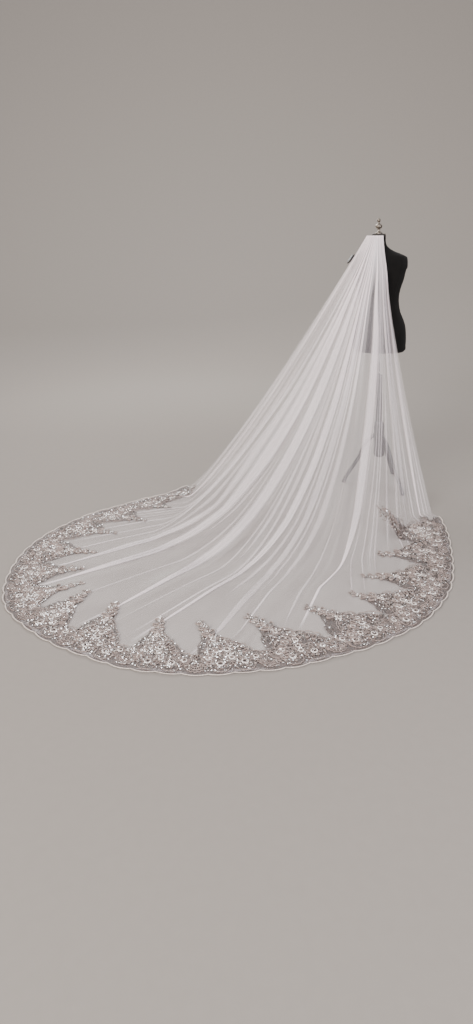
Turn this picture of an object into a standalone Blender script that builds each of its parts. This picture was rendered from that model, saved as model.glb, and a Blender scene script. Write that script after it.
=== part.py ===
"""Bridal veil of gathered tulle with a lace border, standing on a black dress form (metres, +Z up)."""
import bpy
import bmesh
import math
import numpy as np
from mathutils import Vector
from mathutils.geometry import tessellate_polygon

# ---------------------------------------------------------------- driving dimensions
GAP = 0.0003              # clearance between neighbouring pieces
POLE_X, POLE_Y = -0.8556, -0.8560   # the stand's axis in the part's frame
NET_WALL = 0.0012         # wall of the net with its gathers pressed together
LACE_WALL = 0.0010        # wall of the lace border
LACE_LIFT = NET_WALL + GAP
EDGING_WALL = 0.0020      # corded edging
EDGING_WIDTH = 0.0065
SCALLOPS = 51             # small scallops along the hem
SCALLOP_RISE = 0.0055
COMB_WIDTH = 0.100
COMB_BOW = 0.120          # radius of the comb's bow
COMB_X, COMB_Y = 0.036, 0.072     # middle of the comb, from the pole
COMB_TOP = 1.545
COMB_TEETH = 17
COMB_LEAN = 0.0149        # lean of the teeth, whose tips rest on the dress form's neck
BINDING_OUT = -0.0007     # the binding's inner side, from the comb's bow
BINDING_WALL = 0.0030
VEIL_TOP = 1.548

# hem on the floor, seen from above, from the wearer's left round to the right (from the pole)
HEM = [  # x, y
    (1.191, 0.049), (1.310, 0.187), (1.458, 0.291), (1.600, 0.405), (1.732, 0.531), (1.835, 0.690),
    (1.908, 0.866), (1.929, 1.054), (1.915, 1.245), (1.858, 1.427), (1.738, 1.579), (1.587, 1.704),
    (1.420, 1.800), (1.242, 1.869), (1.051, 1.893), (0.858, 1.881), (0.670, 1.843), (0.492, 1.775),
    (0.325, 1.692), (0.171, 1.580), (0.044, 1.437), (-0.054, 1.270), (-0.118, 1.087), (-0.165, 0.900),
    (-0.204, 0.710), (-0.220, 0.517),
]

# how each part of the veil falls: s along the hem, reach of the fall from the comb, run of the folds
# over the floor beyond it, curve of the fall, push that keeps it off the dress form's back, and how
# nearly upright it hangs from the comb before it flares out
FALL = [  # s, reach, run, power, push, hang
    (0.000, 1.092, 0.010, 1.18, 0.000, 1.00),
    (0.060, 1.100, 0.030, 1.24, 0.004, 1.00),
    (0.110, 1.130, 0.050, 1.30, 0.006, 1.00),
    (0.168, 1.180, 0.060, 1.42, 0.007, 1.00),
    (0.229, 1.320, 0.110, 1.52, 0.008, 1.00),
    (0.264, 1.410, 0.170, 1.58, 0.009, 1.00),
    (0.330, 1.480, 0.240, 1.64, 0.010, 1.00),
    (0.450, 1.420, 0.260, 1.66, 0.012, 1.00),
    (0.560, 1.270, 0.200, 1.66, 0.014, 1.00),
    (0.660, 1.060, 0.130, 1.60, 0.020, 1.04),
    (0.744, 0.850, 0.080, 1.48, 0.028, 1.10),
    (0.785, 0.700, 0.060, 1.40, 0.032, 1.14),
    (0.835, 0.550, 0.050, 1.28, 0.034, 1.20),
    (0.900, 0.460, 0.040, 1.14, 0.036, 1.30),
    (0.950, 0.440, 0.030, 1.06, 0.036, 1.38),
    (1.000, 0.445, 0.020, 1.00, 0.036, 1.44),
]
FALL_ROWS = 17
FALL_CROWD = 1.35         # crowds the rows towards the comb
RUN_ROWS = [0.25, 0.55, 1.0]

# the large folds: where each lies along the cloth at seven levels, from the comb (0) over the point
# where the fall meets the floor (0.62) to the hem (1), and its width there as a share of the cloth
LEVELS = [0.0, 0.15, 0.30, 0.45, 0.60, 0.75, 0.90]
FOLDS = [
    ((0.022, 0.022, 0.024, 0.026, 0.030, 0.032, 0.032), (0.006, 0.010, 0.012, 0.010, 0.004, 0.000, 0.000)),
    ((0.085, 0.086, 0.088, 0.090, 0.094, 0.096, 0.098), (0.007, 0.011, 0.012, 0.010, 0.004, 0.000, 0.000)),
    ((0.118, 0.119, 0.120, 0.124, 0.128, 0.130, 0.132), (0.007, 0.010, 0.010, 0.009, 0.005, 0.003, 0.000)),
    ((0.150, 0.152, 0.155, 0.158, 0.160, 0.163, 0.165), (0.008, 0.012, 0.013, 0.012, 0.007, 0.004, 0.000)),
    ((0.185, 0.188, 0.190, 0.190, 0.188, 0.190, 0.192), (0.008, 0.012, 0.014, 0.014, 0.009, 0.005, 0.000)),
    ((0.216, 0.220, 0.222, 0.220, 0.216, 0.218, 0.222), (0.008, 0.012, 0.014, 0.016, 0.012, 0.006, 0.002)),
    ((0.243, 0.246, 0.248, 0.247, 0.243, 0.247, 0.252), (0.008, 0.011, 0.012, 0.014, 0.011, 0.006, 0.002)),
    ((0.270, 0.273, 0.275, 0.275, 0.270, 0.274, 0.278), (0.008, 0.012, 0.014, 0.018, 0.012, 0.006, 0.002)),
    ((0.318, 0.338, 0.347, 0.318, 0.301, 0.305, 0.306), (0.014, 0.030, 0.038, 0.034, 0.015, 0.007, 0.003)),
    ((0.362, 0.378, 0.386, 0.374, 0.335, 0.339, 0.339), (0.016, 0.032, 0.038, 0.028, 0.020, 0.007, 0.003)),
    ((0.432, 0.442, 0.440, 0.429, 0.413, 0.424, 0.432), (0.016, 0.034, 0.032, 0.028, 0.016, 0.007, 0.002)),
    ((0.464, 0.468, 0.465, 0.456, 0.446, 0.446, 0.446), (0.005, 0.006, 0.004, 0.004, 0.004, 0.004, 0.002)),
    ((0.480, 0.482, 0.482, 0.481, 0.470, 0.466, 0.464), (0.008, 0.014, 0.013, 0.004, 0.003, 0.002, 0.000)),
    ((0.503, 0.506, 0.508, 0.507, 0.485, 0.482, 0.481), (0.012, 0.026, 0.028, 0.019, 0.009, 0.006, 0.003)),
    ((0.535, 0.540, 0.546, 0.539, 0.527, 0.533, 0.542), (0.012, 0.022, 0.026, 0.017, 0.015, 0.008, 0.006)),
    ((0.568, 0.575, 0.580, 0.570, 0.552, 0.562, 0.568), (0.008, 0.014, 0.013, 0.013, 0.006, 0.003, 0.001)),
    ((0.650, 0.658, 0.662, 0.651, 0.637, 0.619, 0.616), (0.014, 0.040, 0.048, 0.030, 0.010, 0.004, 0.002)),
    ((0.735, 0.738, 0.734, 0.713, 0.705, 0.712, 0.720), (0.005, 0.006, 0.005, 0.004, 0.003, 0.001, 0.000)),
    ((0.775, 0.780, 0.790, 0.790, 0.775, 0.775, 0.780), (0.008, 0.012, 0.018, 0.020, 0.006, 0.002, 0.000)),
    ((0.830, 0.835, 0.840, 0.845, 0.850, 0.850, 0.850), (0.006, 0.008, 0.009, 0.008, 0.004, 0.001, 0.000)),
    ((0.885, 0.888, 0.890, 0.895, 0.900, 0.900, 0.900), (0.006, 0.008, 0.010, 0.008, 0.004, 0.001, 0.000)),
    ((0.935, 0.940, 0.945, 0.955, 0.960, 0.960, 0.960), (0.008, 0.012, 0.018, 0.016, 0.006, 0.001, 0.000)),
    ((0.982, 0.984, 0.984, 0.985, 0.986, 0.986, 0.986), (0.005, 0.007, 0.007, 0.006, 0.003, 0.000, 0.000)),
]
FALL_SHARE = 0.62
FOLD_FOOT = 0.0022        # least width of a fold's side, as a share of the cloth
FOLD_HEIGHT = 0.30        # height of a fold over its width
COLUMN_LEAST = 0.0011     # least share of the cloth between two columns
PUSH_HEIGHT, PUSH_SPREAD = 1.33, 0.12      # where the net is held off the dress form's back
RUN_FLATTENS = 1.3        # how soon the folds' ends lie flat
FOLD_DEPTH = [  # share of the fall, depth factor
    (0.0, 0.34), (0.05, 0.60), (0.15, 0.95), (0.35, 1.0), (0.60, 0.72), (0.80, 0.42), (1.0, 0.16),
]

# lace sprays: place of the foot along the hem, reach of the tip into the net, lean of the tip
SPRAYS = [  # foot s, reach in, lean
    (0.025, 0.095, 0.010), (0.080, 0.200, -0.120), (0.130, 0.268, -0.130), (0.185, 0.290, -0.120),
    (0.245, 0.345, -0.060), (0.300, 0.315, -0.050), (0.352, 0.320, -0.070), (0.407, 0.325, -0.120),
    (0.466, 0.350, -0.160), (0.528, 0.340, -0.140), (0.590, 0.330, -0.160), (0.655, 0.350, -0.200),
    (0.722, 0.335, -0.180), (0.788, 0.330, -0.170), (0.850, 0.320, -0.150), (0.908, 0.235, -0.100),
    (0.962, 0.135, -0.060),
]
SPRAY_SHAPE = [  # share of the reach, half width as a share of half the spacing: domed, then a sprig
    (0.34, 0.88), (0.48, 0.80), (0.57, 0.58), (0.60, 0.40), (0.69, 0.40), (0.77, 0.26), (0.80, 0.13),
    (0.87, 0.19), (0.95, 0.10),
]
SPRAY_GAPS = [  # share of the reach, aside as a share of the spacing, half length, half width
    (0.42, -0.02, 0.026, 0.009), (0.20, -0.17, 0.020, 0.012), (0.24, 0.19, 0.022, 0.011),
]
LACE_EDGE_IN = 0.006      # plain net between the edging and the lace
LACE_END = 0.020          # plain net at the ends of the border
LACE_VALLEY = 0.30        # depth of the lace between two sprays, as a share of the shorter one

# dress form rings: height, half width, depth in front, depth behind, centre y, squareness
TORSO = [
    (0.8320, 0.150, 0.112, 0.124, 0.000, 2.2), (0.8400, 0.158, 0.118, 0.131, 0.000, 2.2),
    (0.8720, 0.163, 0.120, 0.136, 0.000, 2.2), (0.9375, 0.165, 0.118, 0.137, 0.000, 2.2),
    (0.9950, 0.160, 0.111, 0.126, 0.000, 2.2), (1.0300, 0.150, 0.105, 0.114, 0.000, 2.1),
    (1.0700, 0.134, 0.100, 0.100, 0.000, 2.1), (1.1200, 0.125, 0.095, 0.085, 0.000, 2.1),
    (1.1600, 0.124, 0.096, 0.083, 0.000, 2.1), (1.2050, 0.131, 0.104, 0.086, 0.000, 2.1),
    (1.2470, 0.144, 0.120, 0.091, 0.000, 2.1), (1.2800, 0.155, 0.132, 0.095, 0.000, 2.3),
    (1.3150, 0.162, 0.134, 0.097, 0.000, 2.5), (1.3450, 0.168, 0.116, 0.097, 0.000, 2.9),
    (1.3750, 0.170, 0.096, 0.094, 0.000, 3.0), (1.4050, 0.170, 0.076, 0.084, 0.000, 3.0),
    (1.4240, 0.162, 0.064, 0.073, 0.000, 2.8), (1.4370, 0.135, 0.057, 0.064, 0.000, 2.4),
    (1.4510, 0.100, 0.052, 0.057, 0.000, 2.1), (1.4680, 0.070, 0.048, 0.051, 0.000, 2.0),
    (1.4880, 0.050, 0.045, 0.047, 0.000, 2.0), (1.5080, 0.044, 0.043, 0.045, 0.000, 2.0),
    (1.5450, 0.0425, 0.0425, 0.0430, 0.000, 2.0), (1.5560, 0.042, 0.042, 0.042, 0.000, 2.0),
]
TORSO_SIDES = 36
PLATE_X, PLATE_Y, PLATE_Z = 0.1703, 0.004, 1.381   # armhole plates
PLATE_HALF_Y, PLATE_HALF_Z = 0.032, 0.040
NECK_TOP = 1.5560
CAP = [(0.0, 0.0415), (0.0035, 0.0415), (0.0050, 0.0400)]   # height over the neck, radius
FINIAL = [  # height over the cap, radius
    (0.000, 0.0230), (0.006, 0.0215), (0.010, 0.0130), (0.016, 0.0085), (0.026, 0.0072), (0.031, 0.0100),
    (0.037, 0.0178), (0.045, 0.0212), (0.053, 0.0196), (0.060, 0.0130), (0.066, 0.0074), (0.071, 0.0062),
    (0.076, 0.0090), (0.082, 0.0110), (0.089, 0.0098), (0.095, 0.0060), (0.098, 0.0020),
]
POLE_RADIUS = 0.0095
TUBE_RADIUS = 0.0205
TUBE_TOP = 0.680
HUB = [(0.170, 0.0200), (0.176, 0.0270), (0.236, 0.0300), (0.330, 0.0300), (0.384, 0.0270), (0.392, 0.0215)]
LEG_ANGLES = [-8.0, 118.0, 236.0]   # degrees round the pole
LEG_RADIUS = 0.0110
LEG_PATH = [(0.0304, 0.302), (0.0660, 0.272), (0.1300, 0.150), (0.2050, 0.030), (0.2200, 0.0)]  # out, height

MATERIALS = {  # base colour, metallic, roughness
    "ivory tulle": ((0.830, 0.800, 0.790), 0.0, 0.75),
    "ivory satin ribbon": ((0.800, 0.760, 0.720), 0.0, 0.45),
    "silvered comb wire": ((0.620, 0.610, 0.600), 1.0, 0.25),
    "corded ivory lace": ((0.740, 0.680, 0.640), 0.0, 0.60),
    "ivory cord edging": ((0.800, 0.760, 0.720), 0.0, 0.55),
    "black jersey": ((0.012, 0.011, 0.011), 0.0, 0.85),
    "grey painted plate": ((0.300, 0.290, 0.280), 0.3, 0.50),
    "aged grey metal": ((0.330, 0.300, 0.270), 0.9, 0.40),
    "bare steel pole": ((0.560, 0.550, 0.540), 1.0, 0.30),
    "black painted steel": ((0.015, 0.014, 0.014), 0.2, 0.45),
}


# ---------------------------------------------------------------- helpers
def material(name):
    colour, metallic, rough = MATERIALS[name]
    mat = bpy.data.materials.new(name)
    mat.use_nodes = True
    shader = mat.node_tree.nodes["Principled BSDF"]
    shader.inputs["Base Color"].default_value = (*colour, 1.0)
    shader.inputs["Metallic"].default_value = metallic
    shader.inputs["Roughness"].default_value = rough
    mat.diffuse_color = (*colour, 1.0)
    return mat


def add_object(name, verts, faces, mat, smooth=True):
    """One closed body whose faces are turned outwards."""
    verts = [(x + POLE_X, y + POLE_Y, z) for x, y, z in verts]
    mesh = bpy.data.meshes.new(name)
    mesh.from_pydata(verts, [], faces)
    bm = bmesh.new()
    bm.from_mesh(mesh)
    bmesh.ops.recalc_face_normals(bm, faces=bm.faces)
    if bm.calc_volume(signed=True) < 0:
        bmesh.ops.reverse_faces(bm, faces=bm.faces)
    for face in bm.faces:
        face.smooth = smooth
    bm.to_mesh(mesh)
    bm.free()
    mesh.materials.append(material(mat))
    obj = bpy.data.objects.new(name, mesh)
    bpy.context.scene.collection.objects.link(obj)
    return obj


def table_at(rows, column, x):
    """Smooth reading of one column of a table whose first column is the place."""
    rows = np.asarray(rows, float)
    xs, ys = rows[:, 0], rows[:, column]
    slope = np.gradient(ys, xs)
    x = np.clip(np.asarray(x, float), xs[0], xs[-1])
    k = np.clip(np.searchsorted(xs, x, side="right") - 1, 0, len(xs) - 2)
    h = xs[k + 1] - xs[k]
    t = (x - xs[k]) / h
    return ((2 * t**3 - 3 * t**2 + 1) * ys[k] + (t**3 - 2 * t**2 + t) * h * slope[k]
            + (3 * t**2 - 2 * t**3) * ys[k + 1] + (t**3 - t**2) * h * slope[k + 1])


def hem_table():
    pts = np.asarray(HEM, float)
    run = np.r_[0.0, np.hypot(*np.diff(pts, axis=0).T).cumsum()]
    return np.c_[run / run[-1], pts], run[-1]


HEM_ROWS, HEM_LENGTH = hem_table()


def hem_at(s):
    return np.stack([table_at(HEM_ROWS, 1, s), table_at(HEM_ROWS, 2, s)], -1)


def inward_at(s):
    """Unit direction from the hem into the cloth, seen from above."""
    a, b = hem_at(np.clip(s - 0.004, 0, 1)), hem_at(np.clip(s + 0.004, 0, 1))
    t = (b - a) / np.linalg.norm(b - a, axis=-1, keepdims=True)
    return np.stack([-t[..., 1], t[..., 0]], -1)


def comb_at(s, out=0.0):
    """Point on the comb's bow, out = distance away from the neck."""
    x = (0.5 - np.asarray(s, float)) * COMB_WIDTH
    angle = np.arcsin(x / COMB_BOW)
    radius = COMB_BOW + out
    return np.stack([COMB_X + radius * np.sin(angle), COMB_Y - COMB_BOW + radius * np.cos(angle)], -1)


def ring_tube(rings, cap_ends=True):
    """Closed skin through rings that all have the same number of points."""
    n = len(rings[0])
    verts = [tuple(p) for ring in rings for p in ring]
    faces = []
    for j in range(len(rings) - 1):
        for i in range(n):
            a, b = j * n + i, j * n + (i + 1) % n
            faces.append((a, b, b + n, a + n))
    if cap_ends:
        faces.append(tuple(reversed(range(n))))
        faces.append(tuple(range((len(rings) - 1) * n, len(rings) * n)))
    return verts, faces


def lathe(name, profile, base, mat, sides=24, x=0.0, y=0.0):
    rings = [[(x + r * math.cos(2 * math.pi * i / sides), y + r * math.sin(2 * math.pi * i / sides), base + z)
              for i in range(sides)] for z, r in profile]
    verts, faces = ring_tube(rings)
    return add_object(name, verts, faces, mat)


def wall_grid(under, over):
    """Closed wall between two grids of points (rows, columns, 3)."""
    rows, cols = under.shape[:2]
    n = rows * cols
    verts = [tuple(p) for p in under.reshape(-1, 3)] + [tuple(p) for p in over.reshape(-1, 3)]
    faces = []
    for j in range(rows - 1):
        for i in range(cols - 1):
            a = j * cols + i
            quad = (a, a + 1, a + cols + 1, a + cols)
            faces.append(tuple(reversed(quad)))
            faces.append(tuple(q + n for q in quad))
    rim = ([i for i in range(cols)] + [j * cols + cols - 1 for j in range(1, rows)]
           + [(rows - 1) * cols + i for i in range(cols - 2, -1, -1)]
           + [j * cols for j in range(rows - 2, 0, -1)])
    for a, b in zip(rim, rim[1:] + rim[:1]):
        faces.append((a, b, b + n, a + n))
    return verts, faces


def prism(name, outline, z0, z1, mat, gaps=()):
    """Flat plate of any outline with gaps cut through, between two heights."""
    loops = [list(outline)] + [list(g) for g in gaps]
    tris = tessellate_polygon([[Vector((x, y, 0.0)) for x, y in loop] for loop in loops])
    flat = [p for loop in loops for p in loop]
    n = len(flat)
    verts = [(x, y, z0) for x, y in flat] + [(x, y, z1) for x, y in flat]
    faces = [tuple(reversed(t)) for t in tris] + [tuple(k + n for k in t) for t in tris]
    start = 0
    for loop in loops:
        m = len(loop)
        faces += [(start + i, start + (i + 1) % m, start + (i + 1) % m + n, start + i + n) for i in range(m)]
        start += m
    return add_object(name, verts, faces, mat, smooth=False)


# ---------------------------------------------------------------- the net panel
def fold_columns(level):
    """Place of every column of the net at one level: four for each fold, and both selvedges."""
    rows = np.array([(*middles, *widths) for middles, widths in FOLDS])
    n = len(LEVELS)
    at = min(level, LEVELS[-1])
    middle = np.array([float(table_at(np.c_[LEVELS, row[:n]], 1, at)) for row in rows])
    width = np.array([float(table_at(np.c_[LEVELS, row[n:]], 1, at)) for row in rows])
    half = width / 2 + 1.5 * FOLD_FOOT
    edges = np.stack([middle - half, middle - half + FOLD_FOOT, middle + half - FOLD_FOOT, middle + half], -1)
    place = np.r_[0.0, edges.reshape(-1), 1.0]
    for i in range(1, len(place)):                  # keeps the columns in order
        place[i] = max(place[i], place[i - 1] + COLUMN_LEAST)
    place[-1] = 1.0
    for i in range(len(place) - 2, -1, -1):
        place[i] = min(place[i], place[i + 1] - COLUMN_LEAST)
    flat = max(level - LEVELS[-1], 0.0) / (1 - LEVELS[-1])     # the hem has its columns evenly spread
    place += (np.linspace(0.0, 1.0, len(place)) - place) * flat
    raised = np.array([0.0, 1.0, 1.0, 0.0]) * (width + FOLD_FOOT)[:, None]
    lift = np.r_[0.0, raised.reshape(-1), 0.0]
    return place, lift


def net_base(rows):
    """Underside of the net without its folds: grid (rows, columns, 3), and the folds' heights on it."""
    grid, raised = [], []
    for kind, v in rows:
        if kind == "fall":
            level = FALL_SHARE * v ** 0.8
        else:
            level = FALL_SHARE + (1 - FALL_SHARE) * (0.5 * v if kind == "run" else 1.0)
        s, lift = fold_columns(level)
        hem, comb = hem_at(s), comb_at(s, BINDING_OUT + BINDING_WALL + GAP)
        line = hem - comb
        length = np.linalg.norm(line, axis=-1)
        reach, run, power, push, hang = (table_at(FALL, c, s) for c in (1, 2, 3, 4, 5))
        if kind == "fall":
            along = reach * v ** hang
            z = VEIL_TOP * (1 - v) ** power
            near = push * np.exp(-((z - PUSH_HEIGHT) / PUSH_SPREAD) ** 2)
        else:
            along = reach + run * v if kind == "run" else length
            z = np.zeros_like(s)
            near = 0.0 * s
        row = np.zeros((len(s), 3))
        row[:, :2] = comb + line / length[:, None] * along[:, None]
        row[:, 1] += near
        row[:, 2] = z
        grid.append(row)
        raised.append(lift)
    return np.array(grid), np.array(raised)


def grid_normals(grid):
    across = np.gradient(grid, axis=1)
    along = np.gradient(grid, axis=0)
    normal = np.cross(across, along)
    normal /= np.linalg.norm(normal, axis=-1, keepdims=True)
    return normal


def net_panel():
    rows = [("fall", (j / FALL_ROWS) ** FALL_CROWD) for j in range(FALL_ROWS + 1)]
    rows += [("run", v) for v in RUN_ROWS] + [("hem", 1.0)]
    base, lift = net_base(rows)
    normal = grid_normals(base)
    if normal[-1, base.shape[1] // 2, 2] < 0:
        normal = -normal
    under = base.copy()
    for j, (kind, v) in enumerate(rows):
        width = np.linalg.norm(np.diff(base[j], axis=0), axis=-1).sum()
        if kind == "fall":
            depth = float(table_at(FOLD_DEPTH, 1, v ** 0.5 if v > 0 else 0.0))
        else:
            depth = FOLD_DEPTH[-1][1] * (1 - v) ** RUN_FLATTENS
        under[j] += normal[j] * (lift[j] * width * FOLD_HEIGHT * depth)[:, None]
    under[:, :, 2] = np.maximum(under[:, :, 2], 0.0)
    wall = grid_normals(under)
    if wall[-1, base.shape[1] // 2, 2] < 0:
        wall = -wall
    over = under + wall * NET_WALL
    over[-2:] = under[-2:] + (0.0, 0.0, NET_WALL)
    verts, faces = wall_grid(under, over)
    add_object("tulle_panel", verts, faces, "ivory tulle")
    return under[-1, :, :2]


# ---------------------------------------------------------------- trim on the hem
def edge_points(edge, samples):
    """Points spread along the net's own straight-sided hem, with outward directions."""
    run = np.r_[0.0, np.hypot(*np.diff(edge, axis=0).T).cumsum()]
    at = np.unique(np.r_[np.linspace(0, run[-1], samples), run])
    pts = np.stack([np.interp(at, run, edge[:, 0]), np.interp(at, run, edge[:, 1])], -1)
    return at / run[-1], pts


def hem_edging(edge):
    """Corded edging outside the net's hem: plain inside, small scallops outside."""
    s, pts = edge_points(edge, SCALLOPS * 3 + 1)
    out = -inward_at(s)
    inner = pts + out * (GAP + 0.0004)
    rise = SCALLOP_RISE * np.abs(np.sin(np.pi * SCALLOPS * s)) ** 0.7
    outer = pts + out * (EDGING_WIDTH + rise)[:, None]
    outline = [tuple(p) for p in inner] + [tuple(p) for p in outer[::-1]]
    prism("hem_edging", outline, 0.0, EDGING_WALL, "ivory cord edging")


def lace_point(along, depth):
    """Point of the lying net, measured along the hem and in from it."""
    s = np.clip(along / HEM_LENGTH, 0.0, 1.0)
    return tuple(hem_at(s) + inward_at(np.array(s)) * depth)


def lace_border(edge):
    """Lace laid on the lying net: a band with a leaning leafy spray at every repeat."""
    feet = np.array([row[0] for row in SPRAYS]) * HEM_LENGTH
    room = np.diff(np.r_[2 * LACE_END - feet[0], feet, 2 * (HEM_LENGTH - LACE_END) - feet[-1]])
    inner, gaps = [lace_point(LACE_END, LACE_END)], []
    for k, (_, reach, lean) in enumerate(SPRAYS):
        foot = feet[k]
        half = float(room[k:k + 2].min()) / 2
        left = [(foot + lean * t ** 1.5 - half * w, reach * t) for t, w in SPRAY_SHAPE]
        right = [(foot + lean * t ** 1.5 + half * w, reach * t) for t, w in SPRAY_SHAPE]
        inner += [lace_point(a, d) for a, d in left + [(foot + lean, reach)] + right[::-1]]
        if k + 1 < len(SPRAYS):
            valley = LACE_VALLEY * min(reach, SPRAYS[k + 1][1])
            inner.append(lace_point((foot + feet[k + 1]) / 2, valley))
        for t, aside, length, width in SPRAY_GAPS:
            a, d = foot + lean * t ** 1.5 + aside * 2 * half, reach * t
            gaps.append([lace_point(a + width * math.cos(q), d + length * math.sin(q))
                         for q in (math.radians(54 + 72 * i) for i in range(5))])
    inner.append(lace_point(HEM_LENGTH - LACE_END, LACE_END))
    s, pts = edge_points(edge, 100)
    outer = [tuple(p) for p in (pts + inward_at(s) * LACE_EDGE_IN)[-2:0:-1]]
    prism("lace_border", inner + outer, LACE_LIFT, LACE_LIFT + LACE_WALL, "corded ivory lace", gaps)


# ---------------------------------------------------------------- comb and binding
def bow_bar(name, out, thick, z0, z1, mat, s0=0.0, s1=1.0, steps=20):
    s = np.linspace(s0, s1, steps)
    near, far = comb_at(s, out), comb_at(s, out + thick)
    rings = []
    for a, b in zip(near, far):
        rings.append([(a[0], a[1], z0), (b[0], b[1], z0), (b[0], b[1], z1), (a[0], a[1], z1)])
    verts, faces = ring_tube(rings)
    add_object(name, verts, faces, mat, smooth=False)


def comb():
    """Comb in one body: a bowed spine with tapering teeth."""
    n = COMB_TEETH
    top, root, tip = COMB_TOP, COMB_TOP - 0.005, COMB_TOP - 0.042
    cells = 2 * n - 1
    s = np.linspace(0.0, 1.0, cells + 1)
    near, far = comb_at(s, -0.0022), comb_at(s, -0.0010)
    lean = comb_at(s, 0.0) - comb_at(s, -COMB_LEAN)
    verts, faces = [], []
    for a, b in zip(near, far):
        verts += [(*a, root), (*b, root), (*b, top), (*a, top)]
    for i in range(cells):
        p, q = 4 * i, 4 * (i + 1)
        faces += [(p + 1, q + 1, q + 2, p + 2), (p + 2, q + 2, q + 3, p + 3), (p + 3, q + 3, q, p)]
        if i % 2:
            faces.append((p, q, q + 1, p + 1))
            continue
        base = len(verts)
        mid_near, mid_far = (near[i] + near[i + 1]) / 2, (far[i] + far[i + 1]) / 2
        for edge_near, edge_far in ((near[i], far[i]), (near[i + 1], far[i + 1])):
            low_near = mid_near + (edge_near - mid_near) * 0.4 - lean[i]
            low_far = mid_far + (edge_far - mid_far) * 0.4 - lean[i]
            verts += [(*low_near, tip), (*low_far, tip)]
        a, b, c, d = base, base + 1, base + 2, base + 3
        faces += [(p, p + 1, b, a), (p + 1, q + 1, d, b), (q + 1, q, c, d), (q, p, a, c), (a, b, d, c)]
    faces += [(0, 1, 2, 3), (4 * cells + 3, 4 * cells + 2, 4 * cells + 1, 4 * cells)]
    add_object("comb", verts, faces, "silvered comb wire", smooth=False)


# ---------------------------------------------------------------- dress form and stand
def torso():
    rings = []
    for z, half, front, back, centre, power in TORSO:
        ring = []
        for i in range(TORSO_SIDES):
            a = 2 * math.pi * i / TORSO_SIDES
            c, s = math.cos(a), math.sin(a)
            x = half * math.copysign(abs(c) ** (2 / power), c)
            y = centre + (back if s > 0 else front) * math.copysign(abs(s) ** (2 / power), s)
            if s < 0:
                bust = math.exp(-((z - 1.285) / 0.052) ** 2) * math.exp(-((abs(x) - 0.080) / 0.042) ** 2)
                y -= 0.026 * bust * min(1.0, -3 * s)
                cleft = math.exp(-((z - 1.285) / 0.05) ** 2) * math.exp(-(x / 0.030) ** 2)
                y += 0.010 * cleft
            elif s > 0:
                y -= 0.006 * math.exp(-(x / 0.020) ** 2) * math.exp(-((z - 1.20) / 0.13) ** 2)
            ring.append((x, y, z))
        rings.append(ring)
    verts, faces = ring_tube(rings)
    add_object("dress_form", verts, faces, "black jersey")


def armhole_plate(name, side):
    """Oval plate closing the armhole, just clear of the shoulder's end."""
    rings = []
    for out, grow in ((0.0, 1.0), (0.0022, 1.0), (0.0034, 0.86)):
        ring = []
        for i in range(20):
            a = 2 * math.pi * i / 20
            ring.append((side * (PLATE_X + out), PLATE_Y + PLATE_HALF_Y * grow * math.cos(a),
                         PLATE_Z + PLATE_HALF_Z * grow * math.sin(a)))
        rings.append(ring)
    verts, faces = ring_tube(rings)
    add_object(name, verts, faces, "grey painted plate")


def legs():
    for k, degrees in enumerate(LEG_ANGLES):
        a = math.radians(degrees)
        out = Vector((math.cos(a), math.sin(a), 0.0))
        side = Vector((-math.sin(a), math.cos(a), 0.0))
        rings = []
        for j, (r, z) in enumerate(LEG_PATH):
            lo, hi = LEG_PATH[max(0, j - 1)], LEG_PATH[min(len(LEG_PATH) - 1, j + 1)]
            d = Vector((hi[0] - lo[0], hi[1] - lo[1])).normalized()
            n = Vector((-d.y, d.x))
            if j == len(LEG_PATH) - 1:
                n = Vector((1.0, 0.0))
            if j == 0:
                n = Vector((0.0, 1.0))
            ring = []
            for i in range(10):
                b = 2 * math.pi * i / 10
                p = (out * (r + n.x * LEG_RADIUS * math.cos(b)) + side * LEG_RADIUS * math.sin(b))
                ring.append((p.x, p.y, max(0.0, z + n.y * LEG_RADIUS * math.cos(b))))
            rings.append(ring)
        verts, faces = ring_tube(rings)
        add_object("leg_%d" % (k + 1), verts, faces, "black painted steel")


def main():
    for obj in list(bpy.data.objects):
        bpy.data.objects.remove(obj, do_unlink=True)
    edge = net_panel()
    hem_edging(edge)
    lace_border(edge)
    bow_bar("gather_binding", BINDING_OUT, BINDING_WALL, COMB_TOP - 0.012, COMB_TOP + 0.0015, "ivory satin ribbon")
    comb()
    torso()
    armhole_plate("armhole_plate_left", 1)
    armhole_plate("armhole_plate_right", -1)
    lathe("neck_cap", CAP, NECK_TOP + GAP, "grey painted plate", 32)
    lathe("finial", FINIAL, NECK_TOP + GAP + CAP[-1][0] + GAP, "aged grey metal", 20)
    lathe("upper_pole", [(TUBE_TOP + GAP, POLE_RADIUS), (TORSO[0][0] - GAP, POLE_RADIUS)], 0.0, "bare steel pole", 16)
    lathe("lower_tube", [(HUB[-1][0] + GAP, TUBE_RADIUS), (TUBE_TOP, TUBE_RADIUS)], 0.0, "black painted steel", 20)
    lathe("leg_hub", HUB, 0.0, "black painted steel", 24)
    legs()


main()
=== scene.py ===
"""Looks of the bridal veil on its dress form: sheer net, lace sprays, corded hem, jersey form and stand."""
import math

import bmesh
import bpy
import numpy as np
from bpy.props import FloatProperty, FloatVectorProperty, IntProperty, PointerProperty
from mathutils import Matrix, Vector
from mathutils.bvhtree import BVHTree


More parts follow.
